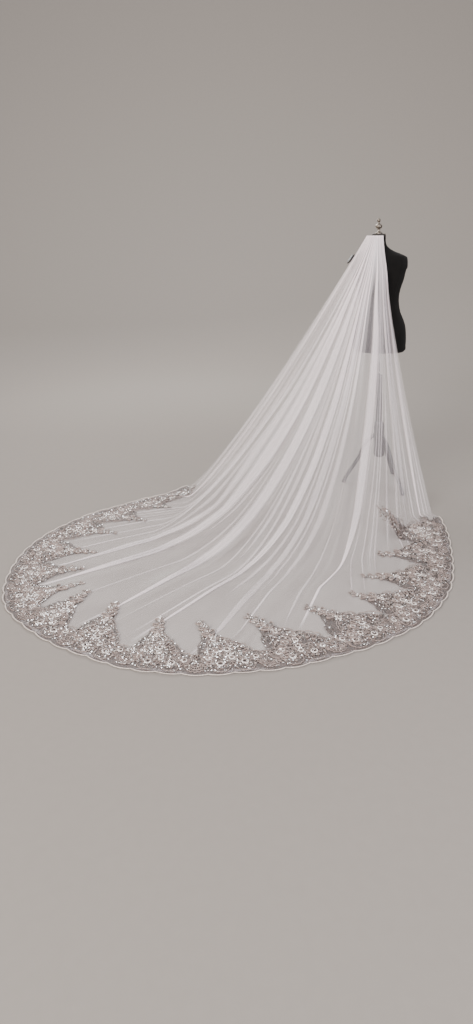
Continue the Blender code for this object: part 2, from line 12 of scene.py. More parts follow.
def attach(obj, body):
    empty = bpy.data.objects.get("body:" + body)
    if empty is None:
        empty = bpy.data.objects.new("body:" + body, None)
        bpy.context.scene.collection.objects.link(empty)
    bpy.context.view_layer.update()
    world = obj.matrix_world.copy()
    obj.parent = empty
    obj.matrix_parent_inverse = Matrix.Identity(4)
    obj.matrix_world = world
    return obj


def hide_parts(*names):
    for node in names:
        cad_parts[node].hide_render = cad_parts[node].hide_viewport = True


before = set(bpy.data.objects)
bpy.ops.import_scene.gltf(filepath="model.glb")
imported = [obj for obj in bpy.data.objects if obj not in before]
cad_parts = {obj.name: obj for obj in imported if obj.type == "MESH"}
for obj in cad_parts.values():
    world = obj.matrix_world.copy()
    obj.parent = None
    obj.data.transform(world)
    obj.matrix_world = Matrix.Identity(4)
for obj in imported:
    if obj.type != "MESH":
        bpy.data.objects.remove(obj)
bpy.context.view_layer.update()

bl_info = {
    "name": "Bridal veil on a dress form",
    "version": (1, 0, 0),
    "blender": (4, 5, 0),
    "location": "View3D > Sidebar > Bridal veil",
    "description": "Builds the net, lace, edging, dress form and stand of a cathedral-length bridal veil",
    "category": "Object",
}

# ---------------------------------------------------------------- sizes shared with the solids (metres)
POLE = np.array([-0.8556, -0.8560])      # the stand's axis
COMB_WIDTH, COMB_BOW = 0.100, 0.120
COMB_X, COMB_Y, COMB_TOP = 0.036, 0.072, 1.545
BINDING_OUT, BINDING_WALL, GAP = -0.0007, 0.0030, 0.0003
VEIL_TOP = 1.548
CLOTH_WIDTH = 2.75                       # cut width that the gathers' density is worked out from
NET_REST = 0.0016                        # how high the lying net's middle is over the floor
EDGING_WIDTH, SCALLOP_RISE = 0.0065, 0.0055

HEM = [  # x, y
    (1.191, 0.049), (1.310, 0.187), (1.458, 0.291), (1.600, 0.405), (1.732, 0.531), (1.835, 0.690),
    (1.908, 0.866), (1.929, 1.054), (1.915, 1.245), (1.858, 1.427), (1.738, 1.579), (1.587, 1.704),
    (1.420, 1.800), (1.242, 1.869), (1.051, 1.893), (0.858, 1.881), (0.670, 1.843), (0.492, 1.775),
    (0.325, 1.692), (0.171, 1.580), (0.044, 1.437), (-0.054, 1.270), (-0.118, 1.087), (-0.165, 0.900),
    (-0.204, 0.710), (-0.220, 0.517),
]
FALL = [  # s, reach, power, push, hang
    (0.000, 1.092, 1.18, 0.000, 1.00),
    (0.060, 1.100, 1.24, 0.004, 1.00),
    (0.110, 1.130, 1.30, 0.006, 1.00),
    (0.168, 1.180, 1.42, 0.007, 1.00),
    (0.229, 1.320, 1.52, 0.008, 1.00),
    (0.264, 1.410, 1.58, 0.009, 1.00),
    (0.330, 1.480, 1.64, 0.010, 1.00),
    (0.450, 1.420, 1.66, 0.012, 1.00),
    (0.560, 1.270, 1.66, 0.014, 1.00),
    (0.660, 1.060, 1.60, 0.020, 1.04),
    (0.744, 0.850, 1.48, 0.028, 1.10),
    (0.785, 0.700, 1.40, 0.032, 1.14),
    (0.835, 0.550, 1.28, 0.034, 1.20),
    (0.900, 0.460, 1.14, 0.036, 1.30),
    (0.950, 0.440, 1.06, 0.036, 1.38),
    (1.000, 0.445, 1.00, 0.036, 1.44),
]
# the folds: the way each lies (1 to the right, -1 to the left), where it runs out, how many fine pleats
# lie between it and the next, then its middle and its width at each level, in thousandths of the cloth
LEVELS = (0.0, 0.20, 0.30, 0.40, 0.50, 0.60, 0.70, 0.85)
FOLDS = [  # way, end, fine pleats, middles, widths
    (1, 0.72, 1, (20, 20, 20, 22, 24, 26, 26, 26), (10, 14, 14, 12, 10, 6, 3, 2)),
    (1, 0.80, 2, (50, 55, 58, 60, 60, 62, 64, 66), (22, 34, 36, 36, 28, 10, 4, 2)),
    (-1, 0.76, 1, (105, 108, 110, 112, 114, 116, 118, 120), (10, 12, 12, 12, 10, 5, 3, 2)),
    (1, 0.82, 1, (145, 149, 150, 151, 152, 154, 156, 158), (14, 18, 19, 19, 15, 7, 4, 2)),
    (-1, 0.80, 1, (180, 184, 186, 186, 184, 184, 186, 188), (10, 12, 12, 12, 10, 6, 3, 2)),
    (1, 0.84, 1, (210, 214, 216, 215, 212, 212, 214, 216), (12, 16, 17, 16, 13, 8, 4, 2)),
    (1, 0.84, 1, (240, 244, 246, 244, 240, 240, 242, 244), (10, 14, 15, 14, 12, 8, 4, 2)),
    (-1, 0.86, 1, (268, 271, 275, 262, 262, 263, 266, 270), (10, 14, 16, 14, 12, 8, 5, 2)),
    (1, 0.86, 0, (318, 328, 328, 320, 332, 292, 297, 305), (22, 32, 36, 40, 15, 15, 13, 4)),
    (1, 0.90, 1, (368, 377, 377, 370, 365, 334, 338, 338), (32, 55, 50, 44, 19, 18, 15, 4)),
    (1, 0.88, 0, (406, 412, 411, 404, 401, 388, 384, 383), (4, 5, 4, 4, 4, 4, 3, 2)),
    (1, 0.88, 1, (435, 442, 439, 434, 426, 412, 419, 427), (26, 43, 38, 31, 25, 17, 8, 3)),
    (-1, 0.86, 1, (464, 470, 465, 458, 457, 452, 447, 448), (4, 5, 4, 4, 4, 4, 3, 2)),
    (1, 0.86, 0, (481, 485, 484, 484, 481, 477, 475, 474), (8, 13, 14, 12, 5, 4, 3, 2)),
    (1, 0.88, 1, (505, 510, 512, 509, 502, 485, 483, 483), (16, 27, 29, 22, 16, 8, 5, 3)),
    (1, 0.93, 1, (540, 547, 548, 542, 537, 524, 531, 541), (16, 23, 23, 19, 12, 10, 10, 5)),
    (1, 0.84, 0, (572, 580, 580, 575, 567, 551, 553, 562), (10, 12, 15, 14, 13, 5, 3, 2)),
    (1, 0.84, 0, (604, 606, 606, 604, 600, 592, 594, 603), (3, 2, 1, 1, 1, 3, 4, 2)),
    (1, 0.82, 0, (652, 672, 665, 654, 648, 636, 618, 621), (30, 54, 50, 34, 22, 5, 4, 2)),
    (1, 0.80, 0, (690, 706, 697, 677, 665, 652, 664, 680), (4, 4, 3, 3, 2, 3, 3, 2)),
    (-1, 0.78, 1, (702, 716, 708, 694, 682, 674, 684, 696), (4, 5, 4, 4, 3, 3, 2, 1)),
    (1, 0.70, 1, (736, 742, 738, 722, 706, 700, 706, 716), (6, 7, 7, 7, 6, 4, 2, 1)),
    (1, 0.68, 2, (775, 776, 782, 788, 778, 775, 778, 780), (18, 28, 28, 24, 14, 4, 2, 1)),
    (-1, 0.66, 1, (825, 830, 834, 840, 845, 845, 845, 845), (10, 12, 12, 10, 7, 3, 2, 1)),
    (1, 0.66, 1, (872, 876, 880, 888, 895, 896, 896, 896), (10, 12, 12, 10, 7, 3, 2, 1)),
    (1, 0.70, 1, (935, 940, 944, 949, 951, 952, 952, 952), (16, 26, 28, 28, 20, 6, 3, 1)),
    (-1, 0.66, 0, (980, 982, 983, 984, 985, 986, 986, 986), (6, 8, 8, 8, 6, 3, 2, 1)),
]
FALL_SHARE = 0.62         # share of the net's rows that fall, the rest lie on the floor
SPRAYS = [  # foot s, reach in, lean, fullness
    (0.025, 0.095, 0.010, 1.3), (0.080, 0.200, -0.120, 1.4), (0.130, 0.268, -0.130, 1.5),
    (0.185, 0.290, -0.120, 1.5), (0.245, 0.345, -0.060, 1.4), (0.300, 0.315, -0.050, 1.4),
    (0.352, 0.320, -0.070, 1.2), (0.407, 0.325, -0.120, 1.0), (0.466, 0.350, -0.160, 1.0),
    (0.528, 0.340, -0.140, 1.0), (0.590, 0.330, -0.160, 1.0), (0.655, 0.350, -0.200, 1.1),
    (0.722, 0.335, -0.180, 1.3), (0.788, 0.330, -0.170, 1.4), (0.850, 0.359, -0.190, 1.4),
    (0.908, 0.338, -0.133, 1.4), (0.962, 0.340, -0.180, 1.5),
]
# outline of a spray: share of its reach, and half width there as a share of half the spacing
SPRAY_T = (0.26, 0.32, 0.40, 0.48, 0.54, 0.59, 0.64, 0.72, 0.80, 0.90, 1.0)
SPRAY_W = (1.00, 0.86, 0.75, 0.67, 0.58, 0.44, 0.38, 0.35, 0.28, 0.18, 0.05)
SPRAY_TOP_W = (0.0, 0.08, 0.17, 0.26, 0.34, 0.42, 0.55, 0.65, 0.72, 0.80, 1.0)
SPRAY_TOP_T = (0.84, 0.82, 0.79, 0.75, 0.69, 0.61, 0.57, 0.50, 0.42, 0.33, 0.26)
LACE_END = 0.020          # plain net at the ends of the border
TORSO = [  # height, half width, depth in front, depth behind, squareness
    (0.8320, 0.150, 0.112, 0.124, 2.2), (0.8400, 0.158, 0.118, 0.131, 2.2),
    (0.8720, 0.163, 0.120, 0.136, 2.2), (0.9375, 0.165, 0.118, 0.137, 2.2),
    (0.9950, 0.160, 0.111, 0.126, 2.2), (1.0300, 0.150, 0.105, 0.114, 2.1),
    (1.0700, 0.134, 0.100, 0.100, 2.1), (1.1200, 0.125, 0.095, 0.085, 2.1),
    (1.1600, 0.124, 0.096, 0.083, 2.1), (1.2050, 0.131, 0.104, 0.086, 2.1),
    (1.2470, 0.144, 0.120, 0.091, 2.1), (1.2800, 0.155, 0.132, 0.095, 2.3),
    (1.3150, 0.162, 0.134, 0.097, 2.5), (1.3450, 0.168, 0.116, 0.097, 2.9),
    (1.3750, 0.170, 0.096, 0.094, 3.0), (1.4050, 0.170, 0.076, 0.084, 3.0),
    (1.4240, 0.162, 0.064, 0.073, 2.8), (1.4370, 0.135, 0.057, 0.064, 2.4),
    (1.4510, 0.100, 0.052, 0.057, 2.1), (1.4680, 0.070, 0.048, 0.051, 2.0),
    (1.4880, 0.050, 0.045, 0.047, 2.0), (1.5080, 0.044, 0.043, 0.045, 2.0),
    (1.5450, 0.0425, 0.0425, 0.0430, 2.0), (1.5560, 0.042, 0.042, 0.042, 2.0),
]
CAP = [(0.0000, 0.0407), (0.0008, 0.0415), (0.0034, 0.0415), (0.0046, 0.0405), (0.0050, 0.0375)]
FINIAL = [  # height over the cap, radius
    (0.000, 0.0230), (0.006, 0.0215), (0.010, 0.0130), (0.016, 0.0085), (0.026, 0.0072), (0.031, 0.0100),
    (0.037, 0.0178), (0.045, 0.0212), (0.053, 0.0196), (0.060, 0.0130), (0.066, 0.0074), (0.071, 0.0062),
    (0.076, 0.0090), (0.082, 0.0110), (0.089, 0.0098), (0.095, 0.0060), (0.098, 0.0020),
]
NECK_TOP = 1.5560
POLE_RADIUS, TUBE_RADIUS, TUBE_TOP = 0.0095, 0.0205, 0.680
PLATE_X, PLATE_Y, PLATE_Z = 0.1703, 0.004, 1.381
PLATE_HALF_Y, PLATE_HALF_Z = 0.032, 0.040
HUB = [(0.170, 0.0200), (0.176, 0.0270), (0.236, 0.0300), (0.330, 0.0300), (0.384, 0.0270), (0.392, 0.0215)]
LEG_ANGLES = [-8.0, 118.0, 236.0]
LEG_RADIUS, LEG_TRIM = 0.0110, 0.97      # the drawn legs stay a little inside the solid ones
LEG_PATH = [(0.0304, 0.302), (0.0660, 0.272), (0.1300, 0.150), (0.2050, 0.030), (0.2200, 0.0)]

# camera: level, at the height of the form's neck, framed low by a vertical shift
EYE = (0.890, 4.375, 1.5625)             # from the pole's foot
FOCAL_PX, HORIZON_PX, FRAME_H = 700.0, 233.5, 1024


# ---------------------------------------------------------------- small helpers
def linear(code):
    """sRGB hex to the linear colour that shaders take."""
    parts = [int(code[i:i + 2], 16) / 255 for i in (1, 3, 5)]
    return tuple(c / 12.92 if c <= 0.04045 else ((c + 0.055) / 1.055) ** 2.4 for c in parts) + (1.0,)


def feed(mat, node, sources):
    """Links sockets, or the first outputs of nodes, to the named inputs of a node."""
    for name, source in sources.items():
        socket = source.outputs[0] if isinstance(source, bpy.types.Node) else source
        mat.node_tree.links.new(socket, node.inputs[name])


def add(mat, kind, settings=None, links=None):
    """Adds one node with its settings and what feeds it; a ramp's stops are (place, hex or grey)."""
    new = mat.node_tree.nodes.new("ShaderNode" + kind)
    for name, value in (settings or {}).items():
        if name == "stops":
            while len(new.color_ramp.elements) < len(value):
                new.color_ramp.elements.new(0.5)
            for element, (place, shade) in zip(new.color_ramp.elements, value):
                element.position = place
                element.color = linear(shade) if isinstance(shade, str) else (shade, shade, shade, 1.0)
        elif isinstance(name, str) and hasattr(new, name) and name not in new.inputs:
            setattr(new, name, value)
        else:
            new.inputs[name].default_value = value
    feed(mat, new, links or {})
    return new


def new_material(name, **settings):
    """A Principled material with the given sockets, ready for more nodes."""
    mat = bpy.data.materials.new(name)
    mat.use_nodes = True
    shader = mat.node_tree.nodes["Principled BSDF"]
    for key, value in settings.items():
        shader.inputs[key.replace("_", " ")].default_value = value
    return mat, shader


def table_at(rows, column, x):
    """Smooth reading of one column of a table whose first column is the place."""
    rows = np.asarray(rows, float)
    xs, ys = rows[:, 0], rows[:, column]
    slope = np.gradient(ys, xs)
    x = np.clip(np.asarray(x, float), xs[0], xs[-1])
    k = np.clip(np.searchsorted(xs, x, side="right") - 1, 0, len(xs) - 2)
    h = xs[k + 1] - xs[k]
    t = (x - xs[k]) / h
    return ((2 * t**3 - 3 * t**2 + 1) * ys[k] + (t**3 - 2 * t**2 + t) * h * slope[k]
            + (3 * t**2 - 2 * t**3) * ys[k + 1] + (t**3 - t**2) * h * slope[k + 1])


def with_run(rows):
    """A table of (x, y) rows with the length run so far put before them."""
    rows = np.asarray(rows, float)
    return np.c_[np.r_[0.0, np.hypot(*np.diff(rows, axis=0).T).cumsum()], rows]


HEM_ROWS = with_run(HEM)
HEM_LENGTH = float(HEM_ROWS[-1, 0])
HEM_ROWS[:, 0] /= HEM_LENGTH


def hem_at(s):
    """Point of the hem on the floor, in the part's frame."""
    return np.stack([table_at(HEM_ROWS, 1, s), table_at(HEM_ROWS, 2, s)], -1) + POLE


def inward_at(s):
    """Direction from the hem into the net, along the floor."""
    a, b = hem_at(np.clip(s - NEAR, 0, 1)), hem_at(np.clip(s + NEAR, 0, 1))
    t = (b - a) / np.linalg.norm(b - a, axis=-1, keepdims=True)
    return np.stack([-t[..., 1], t[..., 0]], -1)


def comb_at(s, out):
    """Point of the comb's bow seen from above, so far out from it."""
    x = (0.5 - np.asarray(s, float)) * COMB_WIDTH
    angle = np.arcsin(np.clip(x / COMB_BOW, -1, 1))
    radius = COMB_BOW + out
    return np.stack([COMB_X + radius * np.sin(angle), COMB_Y - COMB_BOW + radius * np.cos(angle)], -1) + POLE


def coords(mesh):
    """The mesh's points as an array."""
    flat = np.empty(len(mesh.vertices) * 3)
    mesh.vertices.foreach_get("co", flat)
    return flat.reshape(-1, 3)


def set_coords(mesh, points):
    """Moves the mesh's points to those of an array."""
    mesh.vertices.foreach_set("co", np.asarray(points, float).reshape(-1))
    mesh.update()


def mesh_of(bm, name):
    """Turns a bmesh into a mesh of that name."""
    mesh = bpy.data.meshes.new(name)
    bm.to_mesh(mesh)
    bm.free()
    return mesh


def grid(name, across, along):
    """A flat grid of that many points, and the place of each in it, from 0 to 1."""
    bm = bmesh.new()
    bmesh.ops.create_grid(bm, x_segments=across - 1, y_segments=along - 1, size=0.5)
    mesh = mesh_of(bm, name)
    return mesh, coords(mesh) + 0.5


def put(name, data):
    """An object of that name in the scene."""
    obj = bpy.data.objects.new(name, data)
    bpy.context.scene.collection.objects.link(obj)
    return obj


def finish_piece(name, source, mat, replaces=(), smooth=True):
    """Turns a bmesh or a mesh into a piece that rides on the part's one body."""
    mesh = mesh_of(source, name) if isinstance(source, bmesh.types.BMesh) else source
    mesh.name = name
    mesh.materials.clear()
    mesh.materials.append(mat)
    if smooth:
        mesh.polygons.foreach_set("use_smooth", np.ones(len(mesh.polygons), bool))
    obj = put(name, mesh)
    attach(obj, "root")
    if replaces:
        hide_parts(*replaces)
    return obj


def spun(profile, steps, x=POLE[0], y=POLE[1]):
    """Turns a (height, radius) profile about an upright axis."""
    bm = bmesh.new()
    verts = [bm.verts.new((x + r, y, z)) for z, r in profile]
    edges = [bm.edges.new(pair) for pair in zip(verts, verts[1:])]
    bmesh.ops.spin(bm, geom=verts + edges, cent=(x, y, 0), axis=(0, 0, 1), angle=2 * math.pi,
                   steps=steps, use_merge=True)
    bmesh.ops.remove_doubles(bm, verts=bm.verts, dist=1e-6)
    bmesh.ops.recalc_face_normals(bm, faces=bm.faces)
    return bm


def turned(profile, steps):
    """A turned part on the pole's axis, closed at both ends."""
    return spun([(profile[0][0], 0.0), *profile, (profile[-1][0], 0.0)], steps)


def smooth_profile(rows, count):
    """A fuller profile through the rows of a table."""
    table = with_run(rows)
    at = np.linspace(0, table[-1, 0], count)
    return list(zip(table_at(table, 1, at), np.maximum(table_at(table, 2, at), 0.0004)))


def loft(*shells):
    """Closed shells, each a circle of edges extruded ring by ring through the given points."""
    bm = bmesh.new()
    for rings in shells:
        ring = list(bmesh.ops.create_circle(bm, cap_ends=False, segments=len(rings[0]), radius=1.0)["verts"])
        for vert, point in zip(ring, rings[0]):
            vert.co = point
        first = edges = [bm.edges.get(pair) for pair in zip(ring, ring[1:] + ring[:1])]
        for points in rings[1:]:
            made = bmesh.ops.extrude_edge_only(bm, edges=edges)["geom"]
            fresh = {g for g in made if isinstance(g, bmesh.types.BMVert)}
            ring = [next(e.other_vert(v) for e in v.link_edges if e.other_vert(v) in fresh) for v in ring]
            for vert, point in zip(ring, points):
                vert.co = point
            edges = [bm.edges.get(pair) for pair in zip(ring, ring[1:] + ring[:1])]
        bmesh.ops.contextual_create(bm, geom=first)
        bmesh.ops.contextual_create(bm, geom=edges)
        bmesh.ops.recalc_face_normals(bm, faces=bm.faces)
    return bm


def cords(name, paths, radius, sides=0):
    """Round cords along paths, as one mesh."""
    curve = bpy.data.curves.new(name, "CURVE")
    curve.dimensions = "3D"
    curve.bevel_depth = radius
    curve.bevel_resolution = sides
    curve.use_fill_caps = True
    for path in paths:
        spline = curve.splines.new("POLY")
        spline.points.add(len(path) - 1)
        flat = np.c_[np.asarray(path, float), np.ones(len(path))].reshape(-1)
        spline.points.foreach_set("co", flat)
    carrier = bpy.data.objects.new(name, curve)
    mesh = bpy.data.meshes.new_from_object(carrier)
    bpy.data.objects.remove(carrier)
    bpy.data.curves.remove(curve)
    return mesh


def copies(name, pattern, places, painted_glints=None):
    """One mesh of many copies of a small pattern mesh, each set by its own 4x4 matrix, with its own painted
    shade for the light it catches.
    """
    base = coords(pattern)
    count = len(base)
    places = np.asarray([np.asarray(m) for m in places], float)
    points = np.einsum("nij,kj->nki", places[:, :3, :3], base) + places[:, None, :3, 3]
    loops = np.empty(len(pattern.loops), np.int32)
    pattern.loops.foreach_get("vertex_index", loops)
    starts = np.empty(len(pattern.polygons), np.int32)
    sizes = np.empty(len(pattern.polygons), np.int32)
    pattern.polygons.foreach_get("loop_start", starts)
    pattern.polygons.foreach_get("loop_total", sizes)
    n = len(places)
    mesh = bpy.data.meshes.new(name)
    mesh.vertices.add(count * n)
    mesh.vertices.foreach_set("co", points.reshape(-1))
    mesh.loops.add(len(loops) * n)
    mesh.loops.foreach_set("vertex_index", (loops[None] + count * np.arange(n)[:, None]).reshape(-1))
    mesh.polygons.add(len(starts) * n)
    mesh.polygons.foreach_set("loop_start", (starts[None] + len(loops) * np.arange(n)[:, None]).reshape(-1))
    mesh.update(calc_edges=True)
    mesh.validate()
    # painted glints: each copy's brightness, kept as the 'shade' attribute, stands in for the light it
    # catches
    if painted_glints is not None:
        layer = mesh.attributes.new("shade", "FLOAT", "POINT")
        layer.data.foreach_set("value", np.repeat(painted_glints, count).astype(np.float32))
    return mesh


def joined(name, meshes):
    """Several meshes as one."""
    bm = bmesh.new()
    for mesh in meshes:
        bm.from_mesh(mesh)
        bpy.data.meshes.remove(mesh)
    return mesh_of(bm, name)


# ---------------------------------------------------------------- the net's surface
# how close the gathers lie at places across the net
GATHER_S = (0.00, 0.10, 0.34, 0.50, 0.53, 0.603, 0.612, 0.648, 0.660, 0.80, 1.00)
GATHER = (1.4, 1.0, 1.4, 1.6, 2.4, 2.4, 0.3, 0.3, 2.2, 1.8, 2.2)
FINE_WIDTH = np.array((0.62, 0.58, 0.44, 0.34, 0.26, 0.20, 0.16, 0.12))   # fine pleats' share of their room
FALL_CROWD = 1.25                              # crowds the net's rows towards the comb
PUSH_HEIGHT, PUSH_SPREAD = 1.33, 0.12          # where the net is held off the dress form's back
NEAR = 0.004                                   # a step small enough to read a slope from
BROAD_FLUTE, FINE_FLUTE = 0.0042, 0.0026       # heights of the soft flutes on the fall
SWELL = 0.0016                                 # how much the lying net rises and falls
MOST_LAYERS = 16.0                             # densest bunching that is drawn
WIDE_FOLD, OPEN_FOLD = 0.025, 0.010            # widths that take five layers, and more points
LAYER_RISE, LAYER_RANGE = 0.13, (0.0010, 0.0075)   # a layer's height as a share of its fold, and its limits
FLATTEN = 0.76                                 # share of a fold's height that is gone on the floor
LEAST_SHARE = 0.0008                           # least share of the cloth between two folds' edges
FOLD_FADE, FOLD_PAST = 0.14, 0.06              # how soon a fold runs out, and how far past its end
LIE_FROM, LIE_OVER = 0.50, 0.16                # where the folds come to lie on the floor


def falling_net(s, v):
    """Middle of the net without its pleats, for arrays of place across (s) and along (v)."""
    hem, comb = hem_at(s), comb_at(s, BINDING_OUT + BINDING_WALL + GAP)
    line = hem - comb
    length = np.linalg.norm(line, axis=-1)
    reach, power, push, hang = (table_at(FALL, c, s) for c in (1, 2, 3, 4))
    q = np.clip(v / FALL_SHARE, 0, 1) ** FALL_CROWD
    w = np.clip((v - FALL_SHARE) / (1 - FALL_SHARE), 0, 1)
    along = reach * q ** hang + (length - reach) * w
    z = VEIL_TOP * (1 - q) ** power
    plan = comb + line / length[..., None] * along[..., None]
    plan[..., 1] += push * np.exp(-((z - PUSH_HEIGHT) / PUSH_SPREAD) ** 2)
    return np.concatenate([plan, np.maximum(z, 0.0)[..., None]], -1)


def ease(x):
    """A smooth step from 0 to 1."""
    x = np.clip(x, 0.0, 1.0)
    return x * x * (3 - 2 * x)


def all_folds(seed):
    """The folds and the fine pleats between them: way, where each runs out, middles, widths, layers."""
    rng = np.random.default_rng(seed)
    large = [(way, end, fine, np.array(middles) / 1000, np.array(widths) / 1000)
             for way, end, fine, middles, widths in FOLDS]
    rows = []
    for k, (way, end, fine, middles, widths) in enumerate(large):
        rows.append((way, end, middles, widths, 5 if widths[2] > WIDE_FOLD else 3))
        left = middles + widths / 2
        right = large[k + 1][3] - large[k + 1][4] / 2 if k + 1 < len(large) else np.ones(len(LEVELS))
        room = (right - left) / max(1, fine)
        for j in range(fine):
            share = j + 0.5 + rng.uniform(-0.18, 0.18)
            rows.append((rng.choice((1, -1)), rng.uniform(0.48, 0.82), left + room * share,
                         room * rng.uniform(0.7, 1.3) * FINE_WIDTH, 3))
    return rows


def folded_cloth(v, seed):
    """Place across (s), height, cut place and share of bunching of every column of the net, for rows v."""
    folds = all_folds(seed)
    # how the cut cloth is shared out: all layers of a fold, and one between two folds
    spans, edge = [], 0.0
    for _, _, middles, widths, layers in folds:
        spans += [max(middles[2] - widths[2] / 2 - edge, 0.001), layers * max(widths[2], 0.0015)]
        edge = middles[2] + widths[2] / 2
    cuts = np.r_[0.0, np.cumsum(spans + [max(1 - edge, 0.001)])]
    cuts /= cuts[-1]
    edges = [np.zeros_like(v)]
    for _, _, middles, widths, _ in folds:
        middle, width = np.interp(v, LEVELS, middles), np.interp(v, LEVELS, widths)
        edges += [middle - width / 2, middle + width / 2]
    edges.append(np.ones_like(v))
    for k in range(1, len(edges)):
        edges[k] = np.maximum(edges[k], edges[k - 1] + LEAST_SHARE)
    edges[-1] = np.ones_like(v)
    for k in range(len(edges) - 2, 0, -1):
        edges[k] = np.minimum(edges[k], edges[k + 1] - LEAST_SHARE)
    plain = falling_net(*np.meshgrid(np.linspace(0, 1, 200), v))
    fan = np.linalg.norm(np.diff(plain, axis=1), axis=-1).sum(1)
    flat = ease((v - LIE_FROM) / LIE_OVER)
    places, heights, cloth, bunched = [], [], [], []
    stand = []                                     # height of the cloth at both sides of every fold
    for k, (way, end, _, _, layers) in enumerate(folds):
        left, right = edges[2 * k + 1], edges[2 * k + 2]
        fold = ease((end + FOLD_PAST - v) / FOLD_FADE)
        layer = np.clip(LAYER_RISE * (right - left) * fan + 0.0008, *LAYER_RANGE)
        layer = layer * (1 - FLATTEN * flat) * fold
        top = layer * (layers - 1) * (1 if layers < 4 else 0.6)
        stand.append((top * (0 if way > 0 else 1), top * (1 if way > 0 else 0)))
    floor = (np.zeros_like(v), np.zeros_like(v))
    stand = [floor] + stand + [floor]
    for k in range(len(folds) + 1):
        left, right = edges[2 * k], edges[2 * k + 1]
        wide = spans[2 * k] if 2 * k < len(spans) else 0.02
        count = 2 + int(round(wide / 0.006))
        start, stop = stand[k][1], stand[k + 1][0]
        share = np.linspace(0, 1, count + 2)[0 if k == 0 else 1:None if k == len(folds) else -1]
        share = np.sort(np.r_[share, [0.03] * (k > 0), [0.97] * (k < len(folds))])
        for t in share:
            places.append(left + (right - left) * t)
            heights.append(start * (1 - t) ** 3 + stop * t ** 3)
            cloth.append(cuts[2 * k] + (cuts[2 * k + 1] - cuts[2 * k]) * t)
            bunched.append(1 - ease((v - 0.52) / 0.26))
        if k == len(folds):
            break
        way, end, _, _, layers = folds[k]
        count = 3 * layers + 1 + (6 if folds[k][3][2] > OPEN_FOLD else 0)
        left, right = edges[2 * k + 1], edges[2 * k + 2]
        fold = ease((end + FOLD_PAST - v) / FOLD_FADE)
        top = np.maximum(stand[k + 1][0], stand[k + 1][1])
        turn = 1.0 / (count - 1)
        for p in np.linspace(0, 1, count):
            swing = abs((layers * p + 1) % 2 - 1) if p < 1 else 1.0
            steps = [float(ease((p - j / layers + turn) / (2 * turn))) for j in range(1, layers)]
            level = sum(steps) / (layers - 1)
            places.append(left + (right - left) * (swing * fold + p * (1 - fold)))
            heights.append(top * (level if way > 0 else 1 - level))
            cloth.append(cuts[2 * k + 1] + (cuts[2 * k + 2] - cuts[2 * k + 1]) * p)
            bunched.append(fold)
    return np.array(places).T, np.array(heights).T, np.array(cloth), np.array(bunched).T


# ---------------------------------------------------------------- materials
def tulle_material():
    """Soft nylon tulle, a knotted hexagonal net: matt threads over open holes, denser where it bunches.
    Its holes are about 1 mm and can't show, so the share of thread is drawn as see-through."""
    mat, shader = new_material("soft nylon tulle", Roughness=0.62, Specular_IOR_Level=0.25, Sheen_Weight=0.30,
                               Sheen_Roughness=0.35)
    uv = add(mat, "UVMap", {"uv_map": "cut"})
    lengthwise = add(mat, "Mapping", {"Scale": (420.0, 5.0, 1.0)}, {"Vector": uv})
    streaks = add(mat, "TexNoise", {"Scale": 1.0, "Detail": 3.0, "Roughness": 0.6}, {"Vector": lengthwise})
    cover = add(mat, "Attribute", {"attribute_name": "cover"})
    spread = add(mat, "MapRange", {"From Min": 0.30, "From Max": 0.72, "To Min": 0.72, "To Max": 1.34},
                 {"Value": streaks})
    alpha = add(mat, "Math", {"operation": "MULTIPLY", "use_clamp": True},
                {0: cover.outputs["Fac"], 1: spread})
    tone = add(mat, "ValToRGB", {"stops": [(0.30, "#F3E7EA"), (0.55, "#FAF1F1"), (0.75, "#FFFAF8")]},
               {"Fac": streaks})
    glow = add(mat, "BsdfTranslucent", {}, {"Color": tone})
    clear = add(mat, "BsdfTransparent")
    threads = add(mat, "MixShader", {"Fac": 0.38}, {1: shader, 2: glow})
    net = add(mat, "MixShader", {}, {0: alpha, 1: clear, 2: threads})
    feed(mat, shader, {"Base Color": tone})
    feed(mat, mat.node_tree.nodes["Material Output"], {"Surface": net})
    mat.diffuse_color = (*linear("#EFE8E8")[:3], bpy.context.scene.veil_look.sheer)
    return mat


def thread_material(name, low, high, grain_mm):
    """Twisted thread laid side by side: soft sheen, small shade changes over about six threads' width."""
    mat, shader = new_material(name, Roughness=0.55, Sheen_Weight=0.25, Specular_IOR_Level=0.35)
    here = add(mat, "TexCoord").outputs["Object"]
    noise = add(mat, "TexNoise", {"Scale": 1000.0 / grain_mm / 6, "Detail": 4.0, "Roughness": 0.65},
                {"Vector": here})
    tone = add(mat, "ValToRGB", {"stops": [(0.32, low), (0.68, high)]}, {"Fac": noise})
    bump = add(mat, "Bump", {"Strength": 0.5, "Distance": grain_mm / 1000.0}, {"Height": noise})
    feed(mat, shader, {"Base Color": tone, "Normal": bump})
    return mat


def sequin_material():
    """Clear sequins over a silvered film, punched and cupped: hard glints with painted reflections, each
    sequin's colour running from dark grey to white by a random shade, standing in for the light it catches as
    it faces its own way."""
    mat, shader = new_material("cupped silver sequins", Metallic=0.75, Roughness=0.20)
    shade = add(mat, "Attribute", {"attribute_name": "shade"})
    # painted reflection: these stops turn each sequin's random shade into a dark or bright colour in place of
    # the glint it catches
    stops = [(0.0, "#3C3733"), (0.35, "#8A837D"), (0.7, "#E6E3E2"), (1.0, "#FFFFFF")]
    tone = add(mat, "ValToRGB", {"stops": stops}, {"Fac": shade.outputs["Fac"]})
    feed(mat, shader, {"Base Color": tone})
    return mat


def bead_material():
    """Moulded pearl beads: a pale coat with a soft bright highlight."""
    mat, shader = new_material("pearl seed beads", Roughness=0.22, Coat_Weight=0.6, Coat_Roughness=0.08)
    here = add(mat, "TexCoord").outputs["Object"]
    noise = add(mat, "TexNoise", {"Scale": 60.0}, {"Vector": here})
    tone = add(mat, "ValToRGB", {"stops": [(0.4, "#EFE6DD"), (0.6, "#FBF8F4")]}, {"Fac": noise})
    feed(mat, shader, {"Base Color": tone})
    return mat


